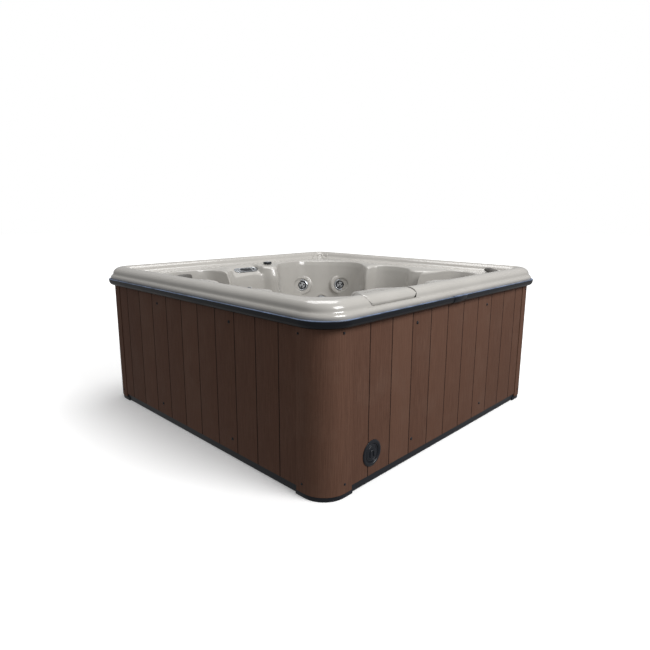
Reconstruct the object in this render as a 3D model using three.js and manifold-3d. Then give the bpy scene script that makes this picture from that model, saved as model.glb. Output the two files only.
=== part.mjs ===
// Square hot tub: acrylic shell on a framed, panelled cabinet, with its water equipment below the seats.
// Millimetres, +Z up. The origin is the centre of the base on the ground. -Y is the front, with the drain.
import * as THREE from 'three';
import { mergeVertices } from 'three/addons/utils/BufferGeometryUtils.js';
import Module from 'manifold-3d';

const wasm = await Module();
wasm.setup();

// ---------------------------------------------------------------- driving dimensions
const GAP = 0.4; // clearance between neighbouring pieces
const HALF = 1067; // half of the overall width, over the edge trim
const EDGE_RADIUS = 170; // plan radius of the trim's outer corners
const CREST_Z = 914; // top of the rim roll
const DECK_Z = 868;
const SHELL_T = 10; // shell thickness

const CABINET_HALF = 1031.5; // faces of the corner panels
const CABINET_RADIUS = 134;
const PANEL_HALF = 1028.5; // faces of the side panels, a step behind the corner panels
const PANEL_T = 8;
const PANEL_Z = [45, 797];
const CORNER_PANEL_Z = [25, 797];
const CORNER_PANEL_T = 9;
const NEAR_REACH = 850; // where the front-left corner panel stops
const FAR_REACH = 866; // where the other corner panels stop
const GROOVE_FIRST = -735; // first plank groove, from the middle of a side
const GROOVE_PITCH = 166;
const GROOVE_COUNT = 10;
const GROOVE = { width: 5, depth: 2.5 };

const SKIRT_T = 7;
const FRAME_OUT = CABINET_HALF - CORNER_PANEL_T - SKIRT_T - 2 * GAP; // outer face of posts and rails
const RAIL = { deep: 62, high: 38 };
const POST_IN = 890;
const POST_CHAMFER = 85;
const FLOOR_TOP = 10; // top of the pan's floor
const FRAME_TOP = 821.5;

const TRIM_Z = [799, 838];
const FRONT_JOIN = { x: -14, half: 63 }; // sleeve over the joint of the two trim halves

const SEAT_Z = 428;
const FOOTWELL = { half: 392, radius: 190, floor: 140 };
const SEAT_EDGE = { half: 432, radius: 205 };

// Control panel: an oblong tilted towards the bather, on a lowered ledge in the back rim.
const PANEL = { x: -55, y: 770, z: 832, long: 212, wide: 64, flange: 8, tilt: 23.4 };
const LEDGE = { x0: -232, x1: 62, blend: 22 };

const DIVERTER = { x: 150, y: 752, r: 34 };
const AIR = { x: -846, y: -300, r: 20 };
const LID = { x: -570, wide: 186, narrow: 88, yOut: -1036, yKnee: -978, yIn: -818, t: 8 };
const FILTER = { x: -570, y: -880, r: 66, bottom: 560, cartridgeTop: 764 };
const MOUTH = { half: 74, low: 782, high: 838 }; // window of the skimmer in the shell's front wall
const DRAIN = { x: -707, z: 156, r: 66 };

// ---------------------------------------------------------------- colours
const finish = (color, roughness, metalness = 0) => ({ color, roughness, metalness });
const ACRYLIC = finish(0xbeb9b3, 0.25);
const BROWN = finish(0x63483a, 0.7);
const BLACK = finish(0x1d1f24, 0.5);
const CHARCOAL = finish(0x57524b, 0.85);
const WOOD = finish(0xb58a5c, 0.8);
const GREY = finish(0x8c8f92, 0.5);
const STEEL = finish(0xc9ccd0, 0.25, 1);
const WHITE = finish(0xe6e6e2, 0.5);
const PAPER = finish(0xe9edf0, 0.9);
const CLEAR = finish(0x9fb6c4, 0.15);
const DARK_GLASS = finish(0x15181c, 0.15);

// ---------------------------------------------------------------- solids
const DEG = Math.PI / 180;
const tub = new THREE.Group();

// Turns every face of a closed geometry outwards.
function outward(geometry) {
  const merged = weld(geometry);
  const p = merged.attributes.position;
  const order = merged.index.array;
  const [a, b, c] = [new THREE.Vector3(), new THREE.Vector3(), new THREE.Vector3()];
  let volume = 0;
  for (let i = 0; i < order.length; i += 3) {
    a.fromBufferAttribute(p, order[i]);
    b.fromBufferAttribute(p, order[i + 1]);
    c.fromBufferAttribute(p, order[i + 2]);
    volume += a.dot(b.cross(c));
  }
  if (volume < 0) {
    for (let i = 0; i < order.length; i += 3) [order[i + 1], order[i + 2]] = [order[i + 2], order[i + 1]];
  }
  return merged;
}

function weld(geometry) {
  const bare = geometry.clone();
  bare.deleteAttribute('normal');
  bare.deleteAttribute('uv');
  return mergeVertices(bare, 1e-3);
}

function solid(geometry) {
  const closed = outward(geometry);
  const vertProperties = new Float32Array(closed.attributes.position.array);
  const triVerts = new Uint32Array(closed.index.array);
  return new wasm.Manifold(new wasm.Mesh({ numProp: 3, vertProperties, triVerts }));
}

function geometryOf(manifold) {
  const { vertProperties, triVerts } = manifold.getMesh();
  const geometry = new THREE.BufferGeometry();
  geometry.setAttribute('position', new THREE.BufferAttribute(vertProperties, 3));
  geometry.setIndex(new THREE.BufferAttribute(triVerts, 1));
  return geometry;
}

function cut(base, ...tools) {
  return tools.reduce((left, tool) => left.subtract(tool), base);
}

function join(...pieces) {
  return pieces.reduce((all, piece) => all.add(piece));
}

function add(name, shape, look, parent = tub) {
  const closed = shape.isBufferGeometry ? outward(shape) : geometryOf(shape);
  const geometry = closed.toNonIndexed();
  geometry.computeVertexNormals();
  const mesh = new THREE.Mesh(geometry, new THREE.MeshStandardMaterial(look));
  mesh.name = name;
  parent.add(mesh);
  return mesh;
}

function box(x0, x1, y0, y1, z0, z1) {
  return new THREE.BoxGeometry(x1 - x0, y1 - y0, z1 - z0)
    .translate((x0 + x1) / 2, (y0 + y1) / 2, (z0 + z1) / 2);
}

// Upright prism of a plan outline given as [x, y] points.
function prism(points, z0, z1) {
  const shape = new THREE.Shape(points.map(([x, y]) => new THREE.Vector2(x, y)));
  return new THREE.ExtrudeGeometry(shape, { depth: z1 - z0, bevelEnabled: false }).translate(0, 0, z0);
}

// Solid turned about +Z from [radius, z] points; a profile off the axis closes on itself.
function turned(profile, segments = 24) {
  const closed = profile[0][0] > 0 ? [...profile, profile[0]] : profile;
  const points = closed.map(([r, z]) => new THREE.Vector2(r, z));
  return new THREE.LatheGeometry(points, segments).rotateX(90 * DEG);
}

function drum(radius, z0, z1, segments = 24) {
  return turned([[0, z0], [radius, z0], [radius, z1], [0, z1]], segments);
}

function roundedRect(halfX, halfY, radius, segments = 6) {
  const corners = [[1, 1, 0], [-1, 1, 90], [-1, -1, 180], [1, -1, 270]];
  return corners.flatMap(([sx, sy, start]) => Array.from({ length: segments + 1 }, (_, i) => {
    const a = (start + (90 * i) / segments) * DEG;
    return [sx * (halfX - radius) + radius * Math.cos(a), sy * (halfY - radius) + radius * Math.sin(a)];
  }));
}

// Quads between neighbouring rings of equal length.
function skin(rings) {
  const count = rings[0].length;
  const faces = [];
  for (let r = 0; r + 1 < rings.length; r += 1) {
    for (let i = 0; i < count; i += 1) {
      const j = (i + 1) % count;
      const [a, b, c, d] = [r * count + i, r * count + j, (r + 1) * count + j, (r + 1) * count + i];
      faces.push(a, b, c, a, c, d);
    }
  }
  return faces;
}

function meshOf(points, faces) {
  const geometry = new THREE.BufferGeometry();
  geometry.setAttribute('position', new THREE.Float32BufferAttribute(points.flat(), 3));
  geometry.setIndex(faces);
  return geometry;
}

// Closed skin through rings of equal length, with a fan over the first and the last ring.
function loft(rings) {
  const count = rings[0].length;
  const points = rings.flat();
  const faces = skin(rings);
  for (const [ring, turn] of [[0, 1], [rings.length - 1, 0]]) {
    const middle = rings[ring].reduce((s, p) => s.map((v, k) => v + p[k] / count), [0, 0, 0]);
    const hub = points.push(middle) - 1;
    for (let i = 0; i < count; i += 1) {
      const pair = [ring * count + i, ring * count + ((i + 1) % count)];
      faces.push(hub, pair[turn], pair[1 - turn]);
    }
  }
  return meshOf(points, faces);
}

const smooth = (t) => {
  const u = Math.min(1, Math.max(0, t));
  return u * u * (3 - 2 * u);
};

// Moves a geometry made about +Z so that +Z points along `normal` at `place`.
function aim(geometry, place, normal) {
  const turn = new THREE.Quaternion().setFromUnitVectors(new THREE.Vector3(0, 0, 1), normal);
  return geometry.clone().applyQuaternion(turn).translate(place.x, place.y, place.z);
}

// ---------------------------------------------------------------- plan curves of the shell
// Distance from the centre to a rounded square, along the plan angle `angle`.
function squareReach(angle, half, radius) {
  const quarter = Math.PI / 2;
  const folded = Math.abs(angle - quarter * Math.round(angle / quarter));
  const flat = half - radius;
  const reach = half / Math.cos(folded);
  if (reach * Math.sin(folded) <= flat) return reach;
  const along = flat * (Math.cos(folded) + Math.sin(folded));
  return along + Math.sqrt(along * along - 2 * flat * flat + radius * radius);
}

// Top edge of the seat backs: bays for the bathers, with ridges between them. Counter-clockwise from +X.
const WALL_TOP = [
  [778, 20], [742, 98], [662, 138], [716, 216], [774, 306], [793, 433], [736, 612], [645, 704],
  [537, 783], [420, 792], [298, 772], [218, 712], [150, 640], [96, 650], [40, 700], [-200, 700],
  [-262, 700], [-330, 640], [-372, 714], [-432, 770], [-560, 786], [-672, 786], [-742, 742],
  [-786, 670], [-786, 540], [-774, 420], [-716, 322], [-656, 262], [-716, 202], [-768, 110], [-782, 0],
  [-768, -110], [-716, -202], [-656, -262], [-716, -322], [-772, -420], [-778, -540], [-744, -640],
  [-690, -700], [-620, -746], [-520, -768], [-400, -768], [-316, -716], [-256, -656], [-196, -716],
  [-100, -770], [20, -784], [120, -770], [204, -716], [262, -656], [322, -716],
  [430, -774], [560, -790], [668, -794],
  [742, -742], [800, -668], [808, -540], [780, -446], [716, -398], [640, -366], [694, -268], [762, -170],
];
const SMOOTH_WALL = { half: 790, radius: 330 };

const wallKnots = WALL_TOP
  .map(([x, y]) => ({ angle: (Math.atan2(y, x) + 2 * Math.PI) % (2 * Math.PI), reach: Math.hypot(x, y) }))
  .sort((a, b) => a.angle - b.angle);

// The wall's reach at an angle, by a cubic through the knots on either side.
function wallReach(angle) {
  const full = 2 * Math.PI;
  const a = ((angle % full) + full) % full;
  const n = wallKnots.length;
  const after = wallKnots.findIndex((k) => k.angle > a);
  const i = after < 0 ? 0 : after;
  const at = (k) => {
    const knot = wallKnots[(k + n) % n];
    return { x: knot.angle + full * Math.floor(k / n), y: knot.reach };
  };
  const shift = after < 0 ? n : 0;
  const [p0, p1, p2, p3] = [-2, -1, 0, 1].map((k) => at(i + shift + k));
  const span = p2.x - p1.x;
  const t = (a - p1.x) / span;
  const m1 = ((p2.y - p0.y) / (p2.x - p0.x)) * span;
  const m2 = ((p3.y - p1.y) / (p3.x - p1.x)) * span;
  const [t2, t3] = [t * t, t * t * t];
  return (2 * t3 - 3 * t2 + 1) * p1.y + (t3 - 2 * t2 + t) * m1 + (3 * t2 - 2 * t3) * p2.y + (t3 - t2) * m2;
}

// Plan angles at which the shell is sampled: even along the sides, close together round the corners.
const SIDE_STEPS = 10;
const CORNER_STEPS = 5;
const ANGLES = [];
for (let side = 0; side < 4; side += 1) {
  const flat = HALF - EDGE_RADIUS;
  for (let i = 0; i < SIDE_STEPS; i += 1) {
    ANGLES.push(Math.atan2(flat * ((2 * i) / SIDE_STEPS - 1), HALF) + side * 90 * DEG);
  }
  for (let i = 0; i < CORNER_STEPS; i += 1) {
    const a = (90 * i * DEG) / CORNER_STEPS;
    const corner = Math.atan2(flat + EDGE_RADIUS * Math.sin(a), flat + EDGE_RADIUS * Math.cos(a));
    ANGLES.push(corner + side * 90 * DEG);
  }
}

// Rim section as [inset from the trim's face, height]: lip, bead, cove, roll and inner foot.
const RIM = [
  [9, 831], [17.5, 831.5], [14, 849], [20, 860], [28, 867], [33, 885], [45, 900], [60, 909],
  [84, CREST_Z], [106, 911], [124, 896], [134, 878], [150, DECK_Z],
];
const RIM_UNDER = [
  [9, 822], [58, 822], [64, 880], [84, 900], [108, 896], [124, 874], [146, DECK_Z - SHELL_T],
];

// The lowered ledge under the control panel: the deck slopes down towards the bather there.
function ledgeHeight(x, y, z) {
  const slope = Math.tan(PANEL.tilt * DEG);
  const plane = PANEL.z + (y - PANEL.y) * slope;
  const inside = smooth((x - LEDGE.x0) / LEDGE.blend) * smooth((LEDGE.x1 - x) / LEDGE.blend);
  return y > 0 ? z + inside * (Math.min(z, plane) - z) : z;
}

function rimPoint(angle, inset, z) {
  const reach = squareReach(angle, HALF - inset, Math.max(EDGE_RADIUS - inset, 22));
  return [reach * Math.cos(angle), reach * Math.sin(angle), z];
}

// Shell surface below the rim: deck, wall top, wall, seat, footwell wall and floor.
// `deeper` moves it down and out, for the hidden side.
function innerRings(deeper) {
  const levels = [];
  const ring = (at) => levels.push(ANGLES.map((angle) => {
    const [reach, z] = at(angle);
    return [reach * Math.cos(angle), reach * Math.sin(angle), z];
  }));
  const square = (half, radius) => (angle) => squareReach(angle, half, radius);
  const deckEdge = square(HALF - 152, 24);
  const noRidges = square(SMOOTH_WALL.half, SMOOTH_WALL.radius);
  const ridge = (angle) => Math.max(0, noRidges(angle) - wallReach(angle));
  for (const part of deeper ? [0.4, 0.72, 0.9] : [0.25, 0.5, 0.72, 0.9]) {
    const across = (angle) => deckEdge(angle) + part * (wallReach(angle) + 14 - deckEdge(angle));
    ring((angle) => [across(angle), DECK_Z - 2 * part - deeper]);
  }
  // Wall section as [inward offset, height, share of the ridges that is left].
  const wall = [[-2, 863, 1], [4, 846, 1], [14, 790, 1], [34, 660, 0.92], [62, 520, 0.7], [86, 456, 0.55]];
  for (const [inward, z, share] of wall.filter((_, i) => !deeper || i % 2 === 1)) {
    ring((angle) => [wallReach(angle) + (1 - share) * ridge(angle) - inward + deeper, z - 0.3 * deeper]);
  }
  const seatBack = (angle) => wallReach(angle) + 0.6 * ridge(angle) - 132;
  const seatFront = square(SEAT_EDGE.half + 22, SEAT_EDGE.radius + 10);
  const seatEdge = square(SEAT_EDGE.half, SEAT_EDGE.radius);
  const wellWall = square(FOOTWELL.half, FOOTWELL.radius);
  const wellFloor = square(FOOTWELL.half - 30, FOOTWELL.radius - 20);
  ring((angle) => [seatBack(angle) + 0.6 * deeper, SEAT_Z + 0.25 * ridge(angle) - deeper]);
  if (!deeper) ring((angle) => [seatFront(angle), SEAT_Z - 6]);
  ring((angle) => [seatEdge(angle) + 0.6 * deeper, SEAT_Z - 22 - 0.6 * deeper]);
  ring((angle) => [wellWall(angle) + deeper, FOOTWELL.floor + 26 - 0.4 * deeper]);
  ring((angle) => [wellFloor(angle), FOOTWELL.floor - deeper]);
  return levels;
}

// Lowers the ledge in a ring of points that lies `deeper` under the bathers' side.
function formed(ring, deeper) {
  return ring.map(([x, y, z]) => [x, y, ledgeHeight(x, y, z + deeper) - deeper]);
}

function shellBlank() {
  const rim = RIM.map(([inset, z]) => ANGLES.map((angle) => rimPoint(angle, inset, z)));
  const under = RIM_UNDER.map(([inset, z]) => ANGLES.map((angle) => rimPoint(angle, inset, z)));
  const top = [...rim, ...innerRings(0)].map((ring) => formed(ring, 0));
  const bottom = [...under, ...innerRings(SHELL_T)].map((ring) => formed(ring, SHELL_T));
  return solid(loft([...bottom.reverse(), ...top]));
}

// ---------------------------------------------------------------- cabinet
function makeBasePan() {
  const out = CABINET_HALF - CORNER_PANEL_T - GAP;
  const outRadius = CABINET_RADIUS - CORNER_PANEL_T;
  const skirt = solid(prism(roundedRect(out, out, outRadius), 6, 44));
  const within = out - SKIRT_T;
  const inside = solid(prism(roundedRect(within, within, outRadius - SKIRT_T), FLOOR_TOP, 60));
  const floor = solid(prism(roundedRect(out - 22, out - 22, outRadius - 22), 0, FLOOR_TOP));
  const footHalf = CABINET_HALF - 4;
  const foot = solid(prism(roundedRect(footHalf, footHalf, CABINET_RADIUS - 4), 0, CORNER_PANEL_Z[0] - 1));
  const crossX = solid(box(-840, 840, -1100, 1100, -5, 60));
  const crossY = solid(box(-1100, 1100, -840, 840, -5, 60));
  add('base_pan', cut(join(skirt, floor, cut(foot, crossX, crossY)), inside), BLACK);
}

const SIDES = [['front', 0], ['right', 90], ['back', 180], ['left', 270]];

function turnedZ(geometry, degrees) {
  return geometry.clone().rotateZ(degrees * DEG);
}

function makeFrame() {
  const reach = POST_IN - GAP;
  const inside = -FRAME_OUT + RAIL.deep;
  const rail = (bottom) => box(-reach, reach, -FRAME_OUT, inside, bottom, bottom + RAIL.high);
  for (const [side, turn] of SIDES) {
    add(`bottom_rail_${side}`, turnedZ(rail(FLOOR_TOP + GAP), turn), WOOD);
    add(`top_rail_${side}`, turnedZ(rail(FRAME_TOP - RAIL.high), turn), WOOD);
  }
  const post = prism([
    [POST_IN, POST_IN], [FRAME_OUT - 6, POST_IN], [FRAME_OUT - 6, FRAME_OUT - POST_CHAMFER],
    [FRAME_OUT - POST_CHAMFER, FRAME_OUT - 6], [POST_IN, FRAME_OUT - 6],
  ], FLOOR_TOP + GAP, FRAME_TOP);
  const names = ['back_right', 'back_left', 'front_left', 'front_right'];
  names.forEach((name, i) => add(`corner_post_${name}`, turnedZ(post, i * 90), WOOD));
}

// Plan outline of one side panel seen from outside: planks with V grooves between them.
function plankOutline(start, end) {
  const points = [[start, -PANEL_HALF + PANEL_T], [start, -PANEL_HALF]];
  for (let i = 0; i < GROOVE_COUNT; i += 1) {
    const x = GROOVE_FIRST + i * GROOVE_PITCH;
    const half = GROOVE.width / 2;
    points.push([x - half, -PANEL_HALF], [x, -PANEL_HALF + GROOVE.depth], [x + half, -PANEL_HALF]);
  }
  points.push([end, -PANEL_HALF], [end, -PANEL_HALF + PANEL_T]);
  return points;
}

function makePanels() {
  const drainFace = new THREE.Vector3(DRAIN.x, -PANEL_HALF, DRAIN.z);
  const drainHole = solid(aim(drum(DRAIN.r - 12, -40, 40, 32), drainFace, new THREE.Vector3(0, -1, 0)));
  const openSeam = 5; // the gaps beside the other three corner panels are wider
  const nearEnd = -NEAR_REACH + 1.5;
  const farEnd = FAR_REACH - openSeam;
  for (const [side, turn] of SIDES) {
    const start = side === 'front' || side === 'left' ? nearEnd : -farEnd;
    const outline = plankOutline(start, farEnd);
    const plan = side === 'left' ? outline.map(([x, y]) => [-x, y]).reverse() : outline;
    const panel = turnedZ(prism(plan, ...PANEL_Z), turn);
    add(`side_panel_${side}`, side === 'front' ? cut(solid(panel), drainHole) : panel, BROWN);
  }
  const bend = (reachX, reachY) => {
    const outer = roundedRect(CABINET_HALF, CABINET_HALF, CABINET_RADIUS, 10).slice(0, 11);
    const inner = roundedRect(
      CABINET_HALF - CORNER_PANEL_T, CABINET_HALF - CORNER_PANEL_T, CABINET_RADIUS - CORNER_PANEL_T, 10,
    ).slice(0, 11).reverse();
    return [
      [CABINET_HALF, reachY], ...outer, [reachX, CABINET_HALF],
      [reachX, CABINET_HALF - CORNER_PANEL_T], ...inner, [CABINET_HALF - CORNER_PANEL_T, reachY],
    ];
  };
  const corners = [
    ['back_right', 0, FAR_REACH, FAR_REACH], ['back_left', 90, FAR_REACH, FAR_REACH],
    ['front_left', 180, NEAR_REACH, NEAR_REACH], ['front_right', 270, FAR_REACH, FAR_REACH],
  ];
  for (const [name, turn, reachX, reachY] of corners) {
    add(`corner_panel_${name}`, turnedZ(prism(bend(reachX, reachY), ...CORNER_PANEL_Z), turn), BROWN);
  }
}

// ---------------------------------------------------------------- edge trim
// Channel section as [inset from the outer face, height]: it wraps the lip of the shell.
const TRIM_SECTION = [
  [0, 832], [1.6, TRIM_Z[1]], [14.6, TRIM_Z[1]], [14.6, 834.6], [5, 834.6], [4.6, 824], [10, 813], [20, 804],
  [31, 804], [31, TRIM_Z[0]], [19, TRIM_Z[0]], [9, 805], [2.4, 816],
];

// Plan points of half of the rim, from the front joint round the right side to the back joint.
function halfRim() {
  const corners = roundedRect(HALF, HALF, EDGE_RADIUS, CORNER_STEPS);
  const backRight = corners.slice(0, CORNER_STEPS + 1);
  const frontRight = corners.slice(-CORNER_STEPS - 1);
  return [...frontRight, ...backRight];
}

function sweepTrim(side, startX, endX) {
  const flat = HALF - EDGE_RADIUS;
  const arcs = halfRim();
  const placed = (inset, z) => {
    const row = [[startX, -(HALF - inset), z]];
    for (const [x, y] of arcs) {
      const cx = Math.sign(x) * flat;
      const cy = Math.sign(y) * flat;
      const shrink = (EDGE_RADIUS - inset) / EDGE_RADIUS;
      row.push([cx + (x - cx) * shrink, cy + (y - cy) * shrink, z]);
    }
    row.push([endX, HALF - inset, z]);
    return row.map(([px, py, pz]) => [side * px, py, pz]);
  };
  const rows = TRIM_SECTION.map(([inset, z]) => placed(inset, z));
  const rings = rows[0].map((_, i) => rows.map((row) => row[i]));
  return loftSection(rings, TRIM_SECTION);
}

// Closed skin through rings of a section that isn't convex, with a triangulated cap at each end.
function loftSection(rings, section) {
  const count = section.length;
  const faces = skin(rings);
  const contour = section.map(([inset, z]) => new THREE.Vector2(inset, z));
  const reversed = THREE.ShapeUtils.isClockWise(contour);
  const last = (rings.length - 1) * count;
  for (const [a, b, c] of THREE.ShapeUtils.triangulateShape(contour, [])) {
    faces.push(...(reversed ? [a, b, c] : [a, c, b]));
    faces.push(...(reversed ? [last + a, last + c, last + b] : [last + a, last + b, last + c]));
  }
  return meshOf(rings.flat(), faces);
}

function makeTrim() {
  const joinX = FRONT_JOIN.x;
  add('trim_right_half', sweepTrim(1, joinX + GAP, joinX + GAP), BLACK);
  add('trim_left_half', sweepTrim(-1, -joinX + GAP, -joinX + GAP), BLACK);
}

// Sleeve that covers the butt joint of the two halves; it stands proud of them by its own thickness.
const SLEEVE_SECTION = [
  [-2, 832], [-0.8, 840.2], [12, 840.2], [12, 838.5], [1, 838.5], [-0.5, 832], [1.9, 815.6], [8.7, 804.4],
  [18.8, 798.5], [24, 798.5], [24, 797.6], [18.4, 797.4], [7.6, 803.2], [0.4, 814.8],
];

function makeJoiners() {
  const outline = SLEEVE_SECTION.map(([inset, z]) => [-(HALF - inset), z]);
  const shape = new THREE.Shape(outline.map(([y, z]) => new THREE.Vector2(y, z)));
  const sleeve = new THREE.ExtrudeGeometry(shape, { depth: 2 * FRONT_JOIN.half, bevelEnabled: false });
  sleeve.rotateY(90 * DEG).rotateX(90 * DEG).translate(FRONT_JOIN.x - FRONT_JOIN.half, 0, 0);
  add('trim_joiner_front', sleeve, BLACK);
  add('trim_joiner_back', sleeve.clone().scale(1, -1, 1), BLACK);
}

// ---------------------------------------------------------------- jets
const jetNormal = new THREE.Vector3(-1, -1, 0.3).normalize();
const JETS = [
  ['left', new THREE.Vector3(527, 747, 660)],
  ['right', new THREE.Vector3(748, 505, 666)],
  ['lower', new THREE.Vector3(644, 627, 519)],
];
const RECESS = { r: 67, depth: 13 };
const JET = { face: 45, barrel: 33, nozzle: 27 };

function jetTools(place) {
  const boss = solid(aim(drum(RECESS.r + 9, -34, -4, 20), place, jetNormal));
  const dish = solid(aim(turned([
    [0, -RECESS.depth], [RECESS.r - 12, -RECESS.depth], [RECESS.r, 60], [0, 60],
  ], 22), place, jetNormal));
  const bore = solid(aim(drum(JET.barrel + GAP, -80, 80, 18), place, jetNormal));
  return { boss, dish, bore };
}

function makeJets() {
  for (const [name, place] of JETS) {
    const seat = -RECESS.depth + GAP;
    const body = turned([
      [0, -78], [JET.barrel - 0.5, -78], [JET.barrel - 0.5, seat], [JET.face, seat],
      [JET.face - 1, seat + 6], [JET.face - 9, seat + 8], [JET.nozzle + 1, seat + 3],
      [JET.nozzle + 1, -40], [0, -40],
    ], 18);
    const inlet = aim(drum(11, -30, 30, 10), new THREE.Vector3(0, 0, -60), new THREE.Vector3(1, 0, 0));
    const hollow = drum(22, -66, -30, 12);
    const shell = cut(solid(body), solid(hollow), solid(inlet.clone().translate(26, 0, 0)));
    add(`jet_body_${name}`, aim(geometryOf(shell), place, jetNormal), STEEL);
    const ports = [90, 210, 330].map((angle) => solid(
      drum(5, -60, 20, 8).translate(13 * Math.cos(angle * DEG), 13 * Math.sin(angle * DEG), 0),
    ));
    const nozzle = cut(solid(turned([
      [0, -38], [JET.nozzle - 1, -38], [JET.nozzle - 1, seat + 1], [20, seat + 5], [8, seat + 2],
      [6, seat + 9], [0, seat + 10],
    ], 18)), ...ports);
    add(`jet_nozzle_${name}`, aim(geometryOf(nozzle), place, jetNormal), GREY);
  }
}

// ---------------------------------------------------------------- control panel
const panelFrame = new THREE.Matrix4()
  .makeTranslation(PANEL.x, PANEL.y, PANEL.z)
  .multiply(new THREE.Matrix4().makeRotationX(PANEL.tilt * DEG));
const BUTTONS = [-84, -62, 74];
const BUTTON_R = 8.5;

function oblong(halfX, halfY, z0, z1) {
  return prism(roundedRect(halfX, halfY, halfY - 0.5, 5), z0, z1);
}

function panelCut() {
  const body = oblong(PANEL.long / 2 - PANEL.flange + GAP, PANEL.wide / 2 - PANEL.flange + GAP, -60, 60);
  const seat = oblong(PANEL.long / 2 + 1, PANEL.wide / 2 + 1, 0.6, 60);
  return join(solid(body.applyMatrix4(panelFrame)), solid(seat.applyMatrix4(panelFrame)));
}

function makePanel() {
  const flange = solid(oblong(PANEL.long / 2, PANEL.wide / 2, 1.2, 6));
  const body = solid(oblong(PANEL.long / 2 - PANEL.flange, PANEL.wide / 2 - PANEL.flange, -22, 3));
  const window = { halfX: 50, halfY: 20 };
  const display = solid(prism(roundedRect(window.halfX, window.halfY, 5, 3), 3.4, 9));
  const holes = BUTTONS.map((x) => solid(drum(BUTTON_R + GAP, -9, 9, 16).translate(x, 0, 0)));
  add('control_panel_bezel', cut(join(flange, body), display, ...holes), GREY).applyMatrix4(panelFrame);
  const lens = prism(roundedRect(window.halfX - GAP, window.halfY - GAP, 5, 3), 3.8, 6.2);
  add('control_panel_display', lens, DARK_GLASS).applyMatrix4(panelFrame);
  BUTTONS.forEach((x, i) => {
    const cap = drum(BUTTON_R, -5, 7.6, 16).translate(x, 0, 0);
    add(`control_button_${i + 1}`, cap, GREY).applyMatrix4(panelFrame);
  });
}

// ---------------------------------------------------------------- knobs on the rim
function makeKnobs() {
  const valve = turned([
    [7.6, 800], [26, 800], [26, DECK_Z - 16], [18, DECK_Z - 16], [18, DECK_Z + 1.4], [7.6, DECK_Z + 1.4],
  ], 18);
  add('diverter_valve', valve.translate(DIVERTER.x, DIVERTER.y, 0), WHITE);
  const cap = solid(turned([
    [0, 806], [7, 806], [7, DECK_Z + 2], [DIVERTER.r, DECK_Z + 2], [DIVERTER.r, DECK_Z + 12],
    [DIVERTER.r - 6, DECK_Z + 20], [0, DECK_Z + 21],
  ], 24));
  const grips = [0, 60, 120, 180, 240, 300].map((angle) => solid(
    drum(8, DECK_Z + 4, DECK_Z + 30, 8)
      .translate((DIVERTER.r + 4) * Math.cos(angle * DEG), (DIVERTER.r + 4) * Math.sin(angle * DEG), 0),
  ));
  const knob = geometryOf(cut(cap, ...grips)).translate(DIVERTER.x, DIVERTER.y, 0);
  add('diverter_knob', knob, BLACK);
  const airBody = turned([
    [5.6, 800], [17, 800], [17, DECK_Z - 14], [12, DECK_Z - 14], [12, DECK_Z + 1.4], [5.6, DECK_Z + 1.4],
  ], 14);
  add('air_valve', airBody.translate(AIR.x, AIR.y, 0), WHITE);
  const airCap = solid(turned([
    [0, 806], [5, 806], [5, DECK_Z + 2], [AIR.r, DECK_Z + 2], [AIR.r - 2, DECK_Z + 12], [0, DECK_Z + 14],
  ], 18));
  const blade = solid(box(-4, 4, -AIR.r + 3, AIR.r - 3, DECK_Z + 8, DECK_Z + 22));
  add('air_control_knob', geometryOf(join(airCap, blade)).translate(AIR.x, AIR.y, 0), GREY);
}

// ---------------------------------------------------------------- filter and skimmer
// Plan of the lid: straight outer edge, flanks that close in towards the pool, round inner end.
function lidPlan(grow) {
  const { x, wide, narrow, yOut, yKnee, yIn } = LID;
  const points = [[wide, yOut], [wide, yKnee]];
  const ends = 30;
  points.push([narrow + 12, yIn - 58], [narrow, yIn - ends], [narrow - 12, yIn - 10], [narrow - 32, yIn]);
  const left = points.map(([dx, y]) => [x - dx, y]).reverse();
  const outline = [...points.map(([dx, y]) => [x + dx, y]), ...left];
  const middle = [x, (yOut + yIn) / 2];
  return outline.map(([px, py]) => [
    middle[0] + (px - middle[0]) * (1 + grow / wide), middle[1] + (py - middle[1]) * (1 + grow / 100),
  ]);
}

// Section of the lid across the rim as [y, z]: it carries the roll on, almost level, towards the pool.
function lidSection(lower) {
  const top = [
    [-1038, 872], [-1034, 885], [-1022, 900], [-1007, 909], [-983, CREST_Z], [-940, CREST_Z - 1],
    [-890, 911], [-850, 905], [-828, 895], [-812, 880],
  ];
  const low = DECK_Z + 1.2 - (lower ? 20 : 0);
  return [[-1040, low], ...top.map(([y, z]) => [y, z - lower]), [-812, low]];
}

function alongX(section, x0, x1) {
  const shape = new THREE.Shape(section.map(([y, z]) => new THREE.Vector2(y, z)));
  const bar = new THREE.ExtrudeGeometry(shape, { depth: x1 - x0, bevelEnabled: false });
  return bar.rotateY(90 * DEG).rotateX(90 * DEG).translate(x0, 0, 0);
}

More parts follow.
